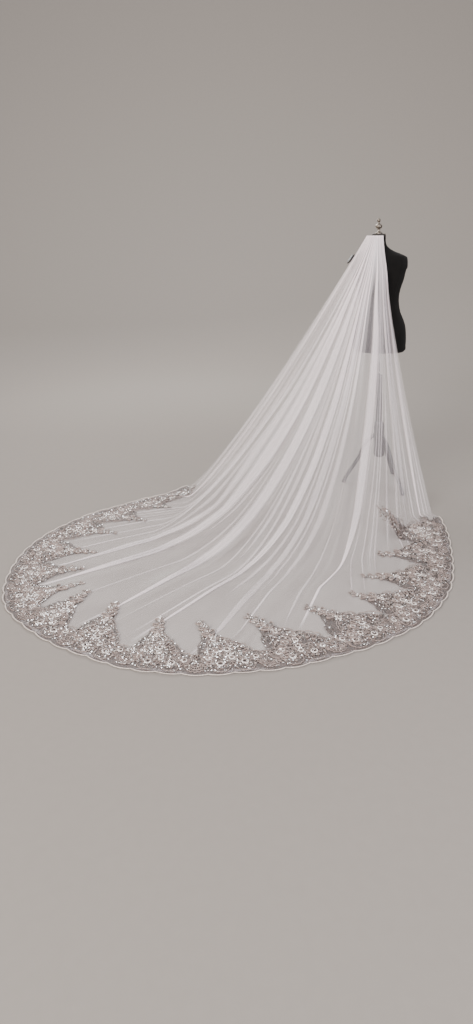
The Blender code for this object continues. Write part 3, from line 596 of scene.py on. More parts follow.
def lace_ground_material():
    """Embroidered filling stitches on net: a close silver-grey mesh of thread, open in small holes.
    The stitches are under 2 mm and can't show, so they are drawn as cells of 9 mm."""
    mat, shader = new_material("embroidered lace ground", Roughness=0.6, Sheen_Weight=0.15)
    here = add(mat, "TexCoord").outputs["Object"]
    cells = add(mat, "TexVoronoi", {"feature": "DISTANCE_TO_EDGE", "Scale": 1000.0 / 9.0}, {"Vector": here})
    noise = add(mat, "TexNoise", {"Scale": 110.0, "Detail": 3.0}, {"Vector": here})
    thread = add(mat, "ValToRGB", {"stops": [(0.05, 0.98), (0.22, 0.72)]}, {"Fac": cells})
    patch = add(mat, "MapRange", {"From Min": 0.35, "From Max": 0.60, "To Min": 0.62, "To Max": 1.0},
                {"Value": noise})
    alpha = add(mat, "Math", {"operation": "MULTIPLY", "use_clamp": True}, {0: thread, 1: patch})
    tone = add(mat, "ValToRGB", {"stops": [(0.35, "#2B201B"), (0.65, "#51403A")]}, {"Fac": noise})
    feed(mat, shader, {"Base Color": tone, "Alpha": alpha})
    return mat


def ribbon_material():
    """Woven satin ribbon: a smooth face with fine ribs across it."""
    mat, shader = new_material("ivory satin ribbon", Roughness=0.34, Sheen_Weight=0.2,
                               Specular_IOR_Level=0.55)
    here = add(mat, "TexCoord").outputs["Object"]
    rib = add(mat, "TexWave", {"Scale": 160.0, "Distortion": 1.5, "Detail": 2.0}, {"Vector": here})
    rib = rib.outputs["Fac"]
    tone = add(mat, "ValToRGB", {"stops": [(0.0, "#DDD2C8"), (1.0, "#F2EBE3")]}, {"Fac": rib})
    bump = add(mat, "Bump", {"Strength": 0.25, "Distance": 0.0004}, {"Height": rib})
    feed(mat, shader, {"Base Color": tone, "Normal": bump})
    return mat


def jersey_material():
    """Black cotton jersey stretched over a moulded torso: fine knit ribs, a dry nap and a little dust.
    The ribs are under 1 mm and can't show, so they are drawn about 5 mm apart."""
    mat, shader = new_material("black cotton jersey", Roughness=0.92, Sheen_Weight=0.03, Sheen_Roughness=0.5,
                               Specular_IOR_Level=0.12)
    here = add(mat, "TexCoord").outputs["Object"]
    wale = add(mat, "TexWave", {"Scale": 66.3482, "Distortion": 2.0, "Detail": 2.0, "Detail Scale": 3.0},
               {"Vector": here})
    nap = add(mat, "TexNoise", {"Scale": 240.0, "Detail": 5.0, "Roughness": 0.7}, {"Vector": here})
    broad = add(mat, "TexNoise", {"Scale": 7.0, "Detail": 2.0}, {"Vector": here})
    tone = add(mat, "ValToRGB", {"stops": [(0.3, "#070605"), (0.7, "#0E0C0B")]}, {"Fac": broad})
    height = add(mat, "Math", {"operation": "ADD"}, {0: wale.outputs["Fac"], 1: nap})
    bump = add(mat, "Bump", {"Strength": 0.35, "Distance": 0.0005}, {"Height": height})
    feed(mat, shader, {"Base Color": tone, "Normal": bump})
    mat.diffuse_color = linear("#171210")
    return mat


def metal_material(name, low, high, metallic, rough_low, rough_high, grain, bump_mm):
    """Metal whose surface was cast, drawn or painted: shade and gloss vary over small patches, with a faint
    pitting."""
    mat, shader = new_material(name, Metallic=metallic)
    here = add(mat, "TexCoord").outputs["Object"]
    noise = add(mat, "TexNoise", {"Scale": grain, "Detail": 5.0, "Roughness": 0.6}, {"Vector": here})
    broad = add(mat, "TexNoise", {"Scale": 14.0, "Detail": 3.0}, {"Vector": here})
    tone = add(mat, "ValToRGB", {"stops": [(0.35, low), (0.65, high)]}, {"Fac": broad})
    gloss = add(mat, "MapRange", {"From Min": 0.3, "From Max": 0.7, "To Min": rough_low,
                                  "To Max": rough_high}, {"Value": noise})
    bump = add(mat, "Bump", {"Strength": 0.3, "Distance": bump_mm / 1000.0}, {"Height": noise})
    feed(mat, shader, {"Base Color": tone, "Roughness": gloss, "Normal": bump})
    return mat


def floor_material():
    """Matt painted studio floor, rolled on: almost even, with a faint tooth."""
    look = bpy.context.scene.veil_look
    mat, shader = new_material("matt studio floor", Roughness=0.92, Specular_IOR_Level=0.1)
    here = add(mat, "TexCoord").outputs["Object"]
    noise = add(mat, "TexNoise", {"Scale": 30.0, "Detail": 4.0}, {"Vector": here})
    shade = add(mat, "MapRange", {"From Min": 0.3, "From Max": 0.7, "To Min": 0.985, "To Max": 1.015},
                {"Value": noise})
    tint = add(mat, "Mix", {"data_type": "RGBA", "blend_type": "MULTIPLY", "Factor": 1.0,
                            6: (*look.floor_colour, 1.0)}, {7: shade})
    feed(mat, shader, {"Base Color": tint.outputs[2]})
    return mat


# ---------------------------------------------------------------- settings
class VEIL_PG_look(bpy.types.PropertyGroup):
    sheer: FloatProperty(name="Cover", description="Share of thread in one layer of net", default=0.19,
                         min=0.05, max=0.9, subtype="FACTOR")
    floor_colour: FloatVectorProperty(name="Floor", description="Colour of the studio floor", size=3,
                                      subtype="COLOR", default=linear("#7E7872")[:3], min=0.0, max=1.0)


class VEIL_PG_cloth(bpy.types.PropertyGroup):
    rows: IntProperty(name="Rows", description="Points along the net", default=100, min=30, max=300)
    seed: IntProperty(name="Pleats", description="Number that sets where the fine pleats fall", default=7,
                      min=0, max=1000)
    pleat_height: FloatProperty(name="Pleat height", description="How high the pleats stand", default=1.0,
                                min=0.0, max=2.0)


class VEIL_PG_lace(bpy.types.PropertyGroup):
    sequin: FloatProperty(name="Sequin", description="Radius of a sequin", default=0.0023, unit="LENGTH",
                          min=0.001, max=0.01)
    scallops: IntProperty(name="Scallops", description="Small scallops along the hem", default=51,
                          min=8, max=200)


# ---------------------------------------------------------------- net
class VEIL_OT_net(bpy.types.Operator):
    """Drapes the tulle: gathered on the comb, pleated down its fall, spread over the floor"""
    bl_idname = "veil.net"
    bl_label = "Tulle net"

    def execute(self, context):
        cloth, look = context.scene.veil_cloth, context.scene.veil_look
        v = np.linspace(0, 1, cloth.rows)
        place, height, cut, bunched = folded_cloth(v, cloth.seed)
        cols, rows = place.shape[1], cloth.rows
        v = np.repeat(v[:, None], cols, 1)
        side = falling_net(np.clip(place + NEAR, 0, 1), v) - falling_net(np.clip(place - NEAR, 0, 1), v)
        down = falling_net(place, np.clip(v + NEAR, 0, 1)) - falling_net(place, np.clip(v - NEAR, 0, 1))
        normal = np.cross(side, down)
        normal /= np.linalg.norm(normal, axis=-1, keepdims=True)
        normal *= np.sign(normal[-1, cols // 2, 2])
        soft = ease(v / 0.30) * (1 - ease((v - 0.48) / 0.16))
        height = height * (0.30 + 0.70 * ease((v - 0.04) / 0.26))
        flute = BROAD_FLUTE * np.sin(place * 74 + 1.1 * np.sin(v * 6))
        flute += FINE_FLUTE * np.sin(place * 161 + v * 5 + 1.0)
        train = ease((v - FALL_SHARE) / 0.10)
        swell = SWELL * (1 + np.sin(place * 95 + 3 * np.sin(v * 9))) * train
        net = falling_net(place, v)
        net += normal * (height * cloth.pleat_height + flute * soft)[..., None]
        net[..., 2] = np.maximum(net[..., 2], 0.0) + swell + NET_REST
        # bunched net shows more thread: the cut width over the width that it takes up
        step = np.linalg.norm(np.diff(net, axis=1), axis=-1)
        plain = falling_net(np.linspace(0, 1, cols)[None].repeat(rows, 0), v)
        fan = np.linalg.norm(np.diff(plain, axis=1), axis=-1).sum(1)[:, None]
        dense = np.diff(cut)[None] * np.maximum(CLOTH_WIDTH, fan) / (step + 2e-5)
        dense = np.concatenate([dense[:, :1], (dense[:, 1:] + dense[:, :-1]) / 2, dense[:, -1:]], 1)
        closer = np.interp(place, GATHER_S, GATHER)
        closer = np.where(closer < 1, closer + (1.7 - closer) * (1 - ease((v - 0.07) / 0.09)), closer)
        closer = 1 + (closer - 1) * (1 - ease((v - 0.22) / 0.24))
        dense = 1 + (np.clip(dense * closer, 1.0, MOST_LAYERS) - 1) * bunched
        cover = 1 - (1 - look.sheer) ** dense
        mesh, flat = grid("tulle_net", cols, rows)
        col = np.rint(flat[:, 0] * (cols - 1)).astype(int)
        row = np.rint(flat[:, 1] * (rows - 1)).astype(int)
        set_coords(mesh, net[row, col])
        layer = mesh.attributes.new("cover", "FLOAT", "POINT")
        layer.data.foreach_set("value", cover[row, col].astype(np.float32))
        corner = np.empty(len(mesh.loops), np.int32)
        mesh.loops.foreach_get("vertex_index", corner)
        uv = mesh.uv_layers.new(name="cut")
        uv.data.foreach_set("uv", np.stack([cut[col], flat[:, 1]], -1)[corner].astype(np.float32).reshape(-1))
        obj = finish_piece("tulle_net", mesh, tulle_material(), replaces=("tulle_panel",))
        if sum(p.normal.z for p in obj.data.polygons[-cols:]) < 0:
            obj.data.flip_normals()
        return {"FINISHED"}


# ---------------------------------------------------------------- lace
NET_TREES = {}            # search tree of the draped net, which the lace is laid on


def scallop_rise(s, scallops):
    """How far the edging's scallops stand out from the hem."""
    return 1.5 * SCALLOP_RISE * np.abs(np.sin(np.pi * scallops * s)) ** 0.7


DROP_FROM, LACE_TOP = 0.6, 0.35   # heights that points are dropped from, and that lace stays under
CORD_LIFT, BEAD_LIFT, SEQUIN_LIFT = 0.0022, 0.0030, 0.0034   # heights over the net
LEAST_LIFT = 0.0006                      # height of the lowest leaf over the floor


def lying(points):
    """Drops points given along the hem and in from it onto the net, with their heights over it."""
    points = np.asarray(points, float)
    s = np.clip(points[..., 0] / HEM_LENGTH, 0, 1)
    plan = hem_at(s) + inward_at(s) * points[..., 1:2]
    net = bpy.data.objects["tulle_net"]
    if net.data.name not in NET_TREES:
        faces = [tuple(p.vertices) for p in net.data.polygons]
        NET_TREES[net.data.name] = BVHTree.FromPolygons(coords(net.data).tolist(), faces)
    tree = NET_TREES[net.data.name]
    out = np.empty(points.shape[:-1] + (3,))
    flat_out, flat_in = out.reshape(-1, 3), points.reshape(-1, points.shape[-1])
    for k, (x, y) in enumerate(plan.reshape(-1, 2)):
        hit = tree.ray_cast(Vector((x, y, DROP_FROM)), Vector((0, 0, -1)))
        ground = hit[0].z if hit[0] is not None else NET_REST
        flat_out[k] = (x, y, min(ground, LACE_TOP) + flat_in[k, 2])
    return out


def leaf_pattern():
    """A lace leaf one metre long: pointed, with a low rib and a domed blade."""
    bm = bmesh.new()
    bmesh.ops.create_grid(bm, x_segments=4, y_segments=2, size=0.5)
    for vert in bm.verts:
        t, side = vert.co.x + 0.5, vert.co.y * 2
        width = 0.25 * math.sin(math.pi * t ** 0.8) ** 0.9 + 0.006
        vert.co = (t, side * width, 0.10 * math.sin(math.pi * t) * (1 - abs(side)) + 0.012)
    return mesh_of(bm, "leaf")


def ring_pattern():
    """A corded ring one metre in radius."""
    thick, steps, sides = 0.17, 8, 3
    bm = bmesh.new()
    verts = bmesh.ops.create_circle(bm, cap_ends=False, segments=sides, radius=thick)["verts"]
    bmesh.ops.rotate(bm, verts=verts, cent=(0, 0, 0), matrix=Matrix.Rotation(math.pi / 2, 3, "X"))
    bmesh.ops.translate(bm, verts=verts, vec=(1.0 - thick, 0, thick * 0.8))
    bmesh.ops.spin(bm, geom=bm.verts[:] + bm.edges[:], cent=(0, 0, 0), axis=(0, 0, 1), angle=2 * math.pi,
                   steps=steps, use_merge=True)
    bmesh.ops.recalc_face_normals(bm, faces=bm.faces)
    return mesh_of(bm, "ring")


def polar(a, d, turn, r):
    """The place at a distance from (a, d), in a direction."""
    return a + math.sin(turn) * r, d + math.cos(turn) * r


def leaning(a, d, turn, x, y):
    """Place (x, y) of a motif that stands at (a, d) and leans."""
    return a + x * math.cos(turn) + y * math.sin(turn), d - x * math.sin(turn) + y * math.cos(turn)


class Motifs:
    """Everything on the lace, measured along the hem (a) and in from it (d); a turn of 0 points inward."""

    def __init__(self, rng):
        self.rng = rng
        self.leaves, self.rings, self.cords, self.glints, self.pearls = [], [], [], [], []

    def leaf(self, a, d, turn, size, lift=0.0008, wide=1.0):
        self.leaves.append((a, d, turn, size, lift, wide))

    def ring(self, a, d, size, turn=0.0, wide=1.0, lift=0.0012):
        self.rings.append((a, d, turn, size, lift, wide))

    def loop(self, a, d, turn, size):
        """A leaf drawn as a corded loop from its foot, with a sequin near its tip."""
        self.ring(*polar(a, d, turn, size * 0.5), size * 0.52, turn, 0.46)
        self.glints.append(polar(a, d, turn, size * 0.8))

    def cord(self, points):
        self.cords.append([(a, d, CORD_LIFT) for a, d in points])

    def arc(self, a, d, radius, turn, spread, lobes=0, lobe=0.0, count=21):
        """A cord bent round a middle, with lobes along it."""
        points = []
        for w in np.linspace(-spread, spread, count):
            r = radius * (1 + lobe * abs(math.sin(lobes * math.pi * (w + spread) / (2 * spread))))
            points.append(polar(a, d, turn + w, r))
        self.cord(points)

    def sparkle(self, a, d, radius, count):
        """Sequins scattered round a place."""
        r, w = radius * np.sqrt(self.rng.random(count)), self.rng.uniform(0, 2 * math.pi, count)
        self.glints += list(zip(a + r * np.cos(w), d + r * np.sin(w)))

    def flower(self, a, d, eye, petals):
        """A ring eye in a rosette of petals, each a leaf with a corded edge."""
        self.ring(a, d, eye, lift=0.0020)
        beads = 12 if eye > 0.008 else 7
        for w in np.linspace(0, 2 * math.pi, beads, endpoint=False):
            self.pearls.append((*polar(a, d, w, eye * 0.92), eye * 0.21))
        for k in range(petals):
            turn = 2 * math.pi * (k + 0.3) / petals
            foot = polar(a, d, turn, eye * 1.05)
            self.leaf(*foot, turn, eye * 1.5, 0.0006, 1.5)
            self.ring(*polar(*foot, turn, eye * 0.72), eye * 0.72, turn, 0.62)
        self.sparkle(a, d, eye * 2.6, 5)

    def posy(self, a, d, across, high, count, eye, turn):
        """Flowers packed in a round, the largest in the middle."""
        for k in range(count):
            r, w = math.sqrt((k + 0.3) / count), 2.4 * k + self.rng.uniform(-0.3, 0.3)
            x, y = r * math.cos(w) * across, r * math.sin(w) * high
            self.flower(*leaning(a, d, turn, x, y), eye * (1 - 0.35 * r), 6)

    def shell(self, a, d, radius):
        """A fan opening towards the hem: ribs between two arcs, the outer one lobed."""
        radius *= self.rng.uniform(0.82, 1.0)
        self.arc(a, d, radius, math.pi, 1.75, 9, 0.10, 37)
        self.arc(a, d, radius * 0.74, math.pi, 1.75, count=19)
        self.arc(a, d, radius * 0.40, math.pi, 1.9, count=13)
        for k in range(10):
            turn = math.pi - 1.6 + 3.2 * k / 9
            self.cord([polar(a, d, turn, r) for r in (radius * 0.42, radius * 0.98)])
            if k < 9:
                self.leaf(*polar(a, d, turn + 0.18, radius * 0.76), turn + 0.18, radius * 0.26, wide=1.3)
        self.ring(a, d, radius * 0.20)
        self.sparkle(a, d - radius * 0.3, radius * 0.9, 14)

    def dome(self, a, d, across, high, turn, lobes):
        """A lobed arch in double cord, filled with loops that fan out from its foot."""
        for grow in (1.0, 0.84):
            points = []
            for w in np.linspace(-math.pi / 2, math.pi / 2, 8 * lobes + 1):
                r = grow * (1 + 0.07 * abs(math.sin(lobes * (w + math.pi / 2))))
                points.append(leaning(a, d, turn, math.sin(w) * across * r, math.cos(w) * high * r))
            self.cord(points)
        for k in range(lobes):
            w = math.pi * (k + 0.5) / lobes - math.pi / 2
            x, y = math.sin(w) * across * 0.60, math.cos(w) * high * 0.60
            here = leaning(a, d, turn, x, y)
            self.loop(*here, math.atan2(x, y) + turn, min(across, high) * 0.34)
            self.sparkle(*here, across * 0.22, 5)


def spray(motifs, foot, reach, lean, half, full, flowers):
    """One spray: flowers in a lobed dome, a smaller dome over it, and a chain of blossoms to its tip."""
    rng = motifs.rng
    size = min(1.0, reach / 0.30)

    def centre(t, aside=0.0):
        return foot + lean * t ** 1.5 + aside * half, reach * t

    def heading(t):
        return math.atan2(lean * 1.5 * t ** 0.5, reach)

    def wide(t):
        return min(1.0, np.interp(t, SPRAY_T, SPRAY_W) * (full if t < 0.64 else 1.0))

    motifs.cord([centre(t) for t in np.linspace(0.36, 0.99, 20)])
    motifs.dome(*centre(0.22), half * 0.70 * full, reach * 0.33, heading(0.3), 9)
    motifs.dome(*centre(0.48), half * 0.42 * full, reach * 0.17, heading(0.6), 5)
    motifs.posy(*centre(0.38), half * 0.46 * full, reach * 0.13, flowers, 0.0135 * size, heading(0.3))
    motifs.flower(*centre(0.62), 0.0110 * size, 6)
    # the tip: pairs of loops at even steps over the net, a blossom at every second pair
    shares = np.linspace(0.68, 0.985, 40)
    line = lying([(*centre(t), 0.0) for t in shares])
    run = np.r_[0.0, np.cumsum(np.linalg.norm(np.diff(line, axis=0), axis=1))]
    tiers = max(3, int(run[-1] / 0.017))
    for k, t in enumerate(np.interp(np.linspace(0, run[-1], tiers), run, shares)):
        length = ((0.048, 0.030)[k % 2] - 0.022 * k / (tiers - 1)) * size
        for side in (-1, 1):
            turn = heading(t) + side * rng.uniform(0.75, 1.15)
            motifs.loop(*centre(t), turn, length * rng.uniform(0.9, 1.1))
            if k < tiers // 2:
                motifs.leaf(*centre(t), turn, length * 0.85, wide=1.1)
        if k % 2 == 0:
            motifs.flower(*centre(t), (0.0092 - 0.0036 * k / tiers) * size, 5)
        motifs.sparkle(*centre(t), length * 0.9, 11)
    motifs.loop(*centre(0.97), heading(1.0), 0.018 * size)
    for side in (-1, 1):
        # scrolls curling out of the dome's foot
        root = centre(0.22, side * 0.78)
        motifs.cord([polar(*root, side * (0.4 + 5.0 * w), 0.034 * size * (1 - 0.70 * w))
                     for w in np.linspace(0, 1, 18)])
    for _ in range(int(34 * size)):
        t = rng.uniform(0.28, 0.66)
        motifs.leaf(*centre(t, rng.uniform(-1, 1) * 0.95 * wide(t)), heading(t) + rng.normal() * 0.9,
                    rng.uniform(0.012, 0.022), wide=rng.uniform(0.8, 1.3))
    for _ in range(int(14 * size)):
        t = rng.uniform(0.28, 0.60)
        motifs.ring(*centre(t, rng.uniform(-1, 1) * 0.85 * wide(t)), rng.uniform(0.0045, 0.0075))
    for _ in range(int(360 * size)):
        t = rng.uniform(0.26, 0.98) if rng.random() < 0.5 else rng.uniform(0.28, 0.56)
        motifs.glints.append(centre(t, rng.uniform(-1, 1) * wide(t)))
    for _ in range(int(30 * size)):
        t = rng.uniform(0.28, 0.92)
        motifs.pearls.append((*centre(t, rng.uniform(-1, 1) * 0.8 * wide(t)), rng.uniform(0.0018, 0.0028)))


def placed(rows):
    """4x4 matrices for copies laid on the net."""
    rows = np.asarray(rows, float)
    here = lying(np.c_[rows[:, 0], rows[:, 1], rows[:, 4]])
    ahead_a = rows[:, 0] + np.sin(rows[:, 2]) * NEAR
    ahead_d = rows[:, 1] + np.cos(rows[:, 2]) * NEAR
    ahead = lying(np.c_[ahead_a, ahead_d, rows[:, 4]])
    forward = ahead - here
    forward /= np.linalg.norm(forward, axis=1, keepdims=True) + 1e-9
    side = np.cross((0, 0, 1.0), forward)
    side /= np.linalg.norm(side, axis=1, keepdims=True) + 1e-9
    up = np.cross(forward, side)
    out = np.zeros((len(rows), 4, 4))
    size = rows[:, 3:4]
    out[:, :3, 0], out[:, :3, 1], out[:, :3, 2] = forward * size, side * size * rows[:, 5:6], up * size
    out[:, :3, 3], out[:, 3, 3] = here, 1.0
    return out


class VEIL_OT_lace(bpy.types.Operator):
    """Lays the lace border on the net: ground, corded stems, leaves, rings, sequins and seed beads"""
    bl_idname = "veil.lace"
    bl_label = "Lace border"

    def execute(self, context):
        lace = context.scene.veil_lace
        rng = np.random.default_rng(11)
        feet = np.array([row[0] for row in SPRAYS]) * HEM_LENGTH
        room = np.diff(np.r_[2 * LACE_END - feet[0], feet, 2 * (HEM_LENGTH - LACE_END) - feet[-1]])
        halves = [float(room[k:k + 2].min()) / 2 for k in range(len(feet))]
        motifs = Motifs(rng)
        for foot, half, (_, reach, lean, full) in zip(feet, halves, SPRAYS):
            spray(motifs, foot, reach, lean, half, full, 5 if foot < feet[-1] else 14)
        # the band along the hem: a shell in every third scallop, a flower in an arc in the others, and
        # a row of flowers between them
        pitch = HEM_LENGTH / lace.scallops
        for k in range(lace.scallops):
            a = (k + 0.5) * pitch
            if 0.06 < a < HEM_LENGTH - 0.06:
                if k % 3 == 1:
                    motifs.shell(a, 0.048, 0.042)
                else:
                    motifs.arc(a, 0.040, 0.036, math.pi, 1.7, 9, 0.10, 37)
                    motifs.flower(a, rng.uniform(0.044, 0.056), 0.0125, 7)
                    motifs.sparkle(a, 0.040, 0.040, 20)
                motifs.arc(a, 0.076, 0.028, 0.0, 1.35, 4, 0.12, 17)
                motifs.loop(a, 0.078, 0.0, 0.022)
            if 0.09 < a + pitch / 2 < HEM_LENGTH - 0.09:
                motifs.flower(a + pitch / 2, rng.uniform(0.064, 0.086), 0.0100, 7)
                motifs.arc(a + pitch / 2, 0.078, 0.034, 0.0, 1.2, 4, 0.12, 17)
                for side in (-1, 1):
                    motifs.loop(a + pitch / 2, 0.056, math.pi + side * 0.5, 0.026)
            for _ in range(20):
                here = a + rng.uniform(-0.5, 0.5) * pitch
                motifs.leaf(here, rng.uniform(0.060, 0.104), rng.uniform(-3, 3), rng.uniform(0.010, 0.018))
                motifs.leaf(here, rng.uniform(0.060, 0.090), rng.uniform(-3, 3), rng.uniform(0.012, 0.020))
                motifs.ring(here, rng.uniform(0.070, 0.092), rng.uniform(0.004, 0.006))
                motifs.glints.append((here, rng.uniform(0.060, 0.096)))
                motifs.glints.append((here, rng.uniform(0.008, 0.106)))
                motifs.glints.append((here + rng.normal() * 0.02, rng.uniform(0.008, 0.060)))
                motifs.glints.append((here + rng.normal() * 0.02, rng.uniform(0.010, 0.110)))
        leaves, rings, glints, pearls = (
            [row for row in rows if 0.010 < row[0] < HEM_LENGTH - 0.010 and row[1] > 0.003]
            for rows in (motifs.leaves, motifs.rings, motifs.glints, motifs.pearls))
        thread = thread_material("corded ivory lace thread", "#4C3E38", "#A8958D", 0.8)
        petal = thread_material("embroidered silver satin stitch", "#30251F", "#5C4C44", 0.9)
        leaf = copies("lace_leaves", leaf_pattern(), placed(leaves))
        points = coords(leaf)
        points[:, 2] = np.maximum(points[:, 2], LEAST_LIFT)
        set_coords(leaf, points)
        finish_piece("lace_leaves", leaf, petal, replaces=("lace_border",))
        finish_piece("lace_rings", copies("lace_rings", ring_pattern(), placed(rings)), thread)
        paths = [lying(np.clip(np.asarray(path), (0.006, 0.003, 0), (HEM_LENGTH - 0.006, 1, 1)))
                 for path in motifs.cords]
        finish_piece("lace_cords", cords("lace_cords", paths, 0.0014), thread)
        disc = bmesh.new()
        bmesh.ops.create_circle(disc, cap_ends=True, segments=6, radius=1.0)
        count = len(glints)
        mats = placed(np.c_[np.asarray(glints), rng.uniform(0, 6.28, count),
                            lace.sequin * rng.uniform(0.7, 1.2, count), np.full(count, SEQUIN_LIFT),
                            np.ones(count)])
        tip = rng.normal(0, 0.30, count)
        tilt = np.tile(np.eye(4), (count, 1, 1))
        tilt[:, 1, 1], tilt[:, 1, 2] = np.cos(tip), -np.sin(tip)
        tilt[:, 2, 1], tilt[:, 2, 2] = np.sin(tip), np.cos(tip)
        # painted glints: each sequin gets a random brightness from dark to white, standing in for the
        # reflection it catches
        painted_glints = rng.choice((0.0, 0.35, 0.7, 1.0), count, p=(0.36, 0.33, 0.18, 0.13))
        sequins = copies("lace_sequins", mesh_of(disc, "sequin"), mats @ tilt, painted_glints)
        finish_piece("lace_sequins", sequins, sequin_material(), smooth=False)
        ball = bmesh.new()
        bmesh.ops.create_icosphere(ball, subdivisions=1, radius=1.0)
        spots = lying([(a, d, BEAD_LIFT) for a, d, _ in pearls])
        mats = [Matrix.Translation(p) @ Matrix.Scale(q[2], 4) for p, q in zip(spots, pearls)]
        beads = copies("lace_beads", mesh_of(ball, "bead"), mats)
        finish_piece("lace_beads", beads, bead_material())
        # ground: a strip from the hem to the sprays' outline
        mesh, flat = grid("lace_ground", 900, 14)
        along = 0.012 + flat[:, 0] * (HEM_LENGTH - 0.024)
        depth = 0.100 + 0.012 * np.abs(np.sin(math.pi * along / pitch))
        depth *= 0.25 + 0.75 * ease(np.minimum(along, HEM_LENGTH - along) / 0.20)
        drift = np.zeros(len(flat))
        for foot, half, (_, reach, lean, full) in zip(feet, halves, SPRAYS):
            aside = (along - foot) / (half * full)
            t = np.interp(np.abs(aside), SPRAY_TOP_W, SPRAY_TOP_T) * (np.abs(along - foot) < 1.02 * half)
            t -= 0.022 * (1 - np.abs(np.sin(aside * 12)))
            better = reach * t > depth
            depth = np.where(better, reach * t, depth)
            drift = np.where(better, lean * np.maximum(t, 0.0) ** 1.5, drift)
        share = flat[:, 1]
        a = along + drift * share ** 1.5
        ends = ease(np.minimum(a, HEM_LENGTH - a) / 0.05)
        start = 0.002 - scallop_rise(a / HEM_LENGTH, lace.scallops) * ends
        set_coords(mesh, lying(np.c_[a, start + (depth - start) * share, np.full(len(a), 0.0005)]))
        finish_piece("lace_ground", mesh, lace_ground_material())
        return {"FINISHED"}


class VEIL_OT_edging(bpy.types.Operator):
    """Sews the corded, scalloped edging along the hem"""
    bl_idname = "veil.edging"
    bl_label = "Hem edging"

    def execute(self, context):
        scallops = context.scene.veil_lace.scallops
        n = 1224                                   # points along the tape, about 24 to a scallop
        s = np.linspace(0.0, 1.0, n)
        rise = scallop_rise(s, scallops)
        mesh, flat = grid("edging_tape", n, 4)
        k = np.rint(flat[:, 0] * (n - 1)).astype(int)
        out = rise[k] + EDGING_WIDTH - 0.0015 - 0.0045 * flat[:, 1]
        lift = 0.0010 + 0.0006 * np.sin(flat[:, 1] * math.pi)
        set_coords(mesh, self.on_floor(s[k], -out, lift))
        cord = thread_material("ivory edging cord", "#857870", "#CFC2B8", 0.9)
        finish_piece("edging_tape", mesh, cord, replaces=("hem_edging",))
        outer = self.on_floor(s, -(EDGING_WIDTH - 0.002 + rise), np.full(n, 0.0016))
        finish_piece("edging_cords", cords("outer", [outer], 0.0014, 1), cord)
        return {"FINISHED"}

    def on_floor(self, s, depth, lift):
        """Points at the hem: on the net inside it, on the floor outside it."""
        plan = hem_at(s) + inward_at(s) * np.asarray(depth)[..., None]
        edge = lying(np.stack([s * HEM_LENGTH, np.full_like(s, 0.003), np.zeros_like(s)], -1))
        return np.c_[plan, edge[:, 2] + lift]


# ---------------------------------------------------------------- heading
class VEIL_OT_heading(bpy.types.Operator):
    """Binds the gathers into a satin ribbon, stitched to the comb"""
    bl_idname = "veil.heading"
    bl_label = "Heading and comb"

    def execute(self, context):
        low, high = COMB_TOP - 0.012, COMB_TOP + 0.0015
        middle = (low + high) / 2
        rings = []
        for k, at in enumerate(np.linspace(0.0, 1.0, 60)):
            wave = 0.00025 * math.sin(k * 1.9)
            near = comb_at(at, BINDING_OUT)
            far = comb_at(at, BINDING_OUT + BINDING_WALL - 0.0003 + wave)
            mid = (near + far) / 2
            rings.append([(*near, low + 0.0006), (*mid, low), (*far, low + 0.0008), (*far, middle),
                          (*far, high - 0.0008), (*mid, high), (*near, high - 0.0006), (*near, middle)])
        finish_piece("gather_ribbon", loft(rings), ribbon_material(),
                     replaces=("gather_binding",))
        # whip stitches over the ribbon and the comb's spine
        paths = []
        for at in np.linspace(0.03, 0.97, 33):
            a, b = comb_at(at, -0.0026), comb_at(at + 0.008, -0.0026)
            top = comb_at(at + 0.004, -0.0016)
            paths.append([(*a, COMB_TOP - 0.0058), (*a, COMB_TOP - 0.001), (*top, COMB_TOP + 0.0012),
                          (*b, COMB_TOP - 0.001)])
        finish_piece("comb_stitches", cords("comb_stitches", paths, 0.0003), ribbon_material())
        steel = metal_material("silvered spring wire", "#B9B7B4", "#DEDCD8", 1.0, 0.16, 0.30, 220.0, 0.05)
        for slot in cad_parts["comb"].material_slots:
            slot.material = steel
        return {"FINISHED"}


# ---------------------------------------------------------------- dress form and stand
FORM_SIDES = 112
ROUND = np.linspace(0, 2 * math.pi, 49)[:-1]
PLATE = [  # how far out, size
    (0.0000, 0.97), (0.0004, 1.0), (0.0020, 1.0), (0.0028, 0.96), (0.0032, 0.86), (0.0030, 0.80),
    (0.0030, 0.50)]
OVAL_CAP = [  # how far out, half height
    (-0.0060, 0.026), (-0.0040, 0.031), (-0.0010, 0.0335), (0.0020, 0.0335), (0.0045, 0.031), (0.0062, 0.026),
    (0.0068, 0.014)]
CAP_LEAN = math.radians(34)
SEAMS = [  # place round the torso, top
    (0.25, 1.554), (0.0, 1.335), (0.5, 1.335), (0.635, 1.43), (0.865, 1.43), (0.36, 1.43), (0.14, 1.43)]


def torso_ring(z, grow):
    """Outline of the torso at a height, grown or shrunk a little."""
    half, front, back, power = (float(table_at(TORSO, c, z)) for c in (1, 2, 3, 4))
    ring = []
    for i in range(FORM_SIDES):
        a = 2 * math.pi * i / FORM_SIDES
        c, s = math.cos(a), math.sin(a)
        x = (half + grow) * math.copysign(abs(c) ** (2 / power), c)
        y = ((back if s > 0 else front) + grow) * math.copysign(abs(s) ** (2 / power), s)
        if s < 0:
            bust = math.exp(-((z - 1.285) / 0.052) ** 2) * math.exp(-((abs(x) - 0.080) / 0.042) ** 2)
            y -= 0.026 * bust * min(1.0, -3 * s)
            y += 0.010 * math.exp(-((z - 1.285) / 0.05) ** 2) * math.exp(-(x / 0.030) ** 2)
        elif s > 0:
            y -= 0.006 * math.exp(-(x / 0.020) ** 2) * math.exp(-((z - 1.20) / 0.13) ** 2)
        ring.append((x + POLE[0], y + POLE[1], z))
    return ring


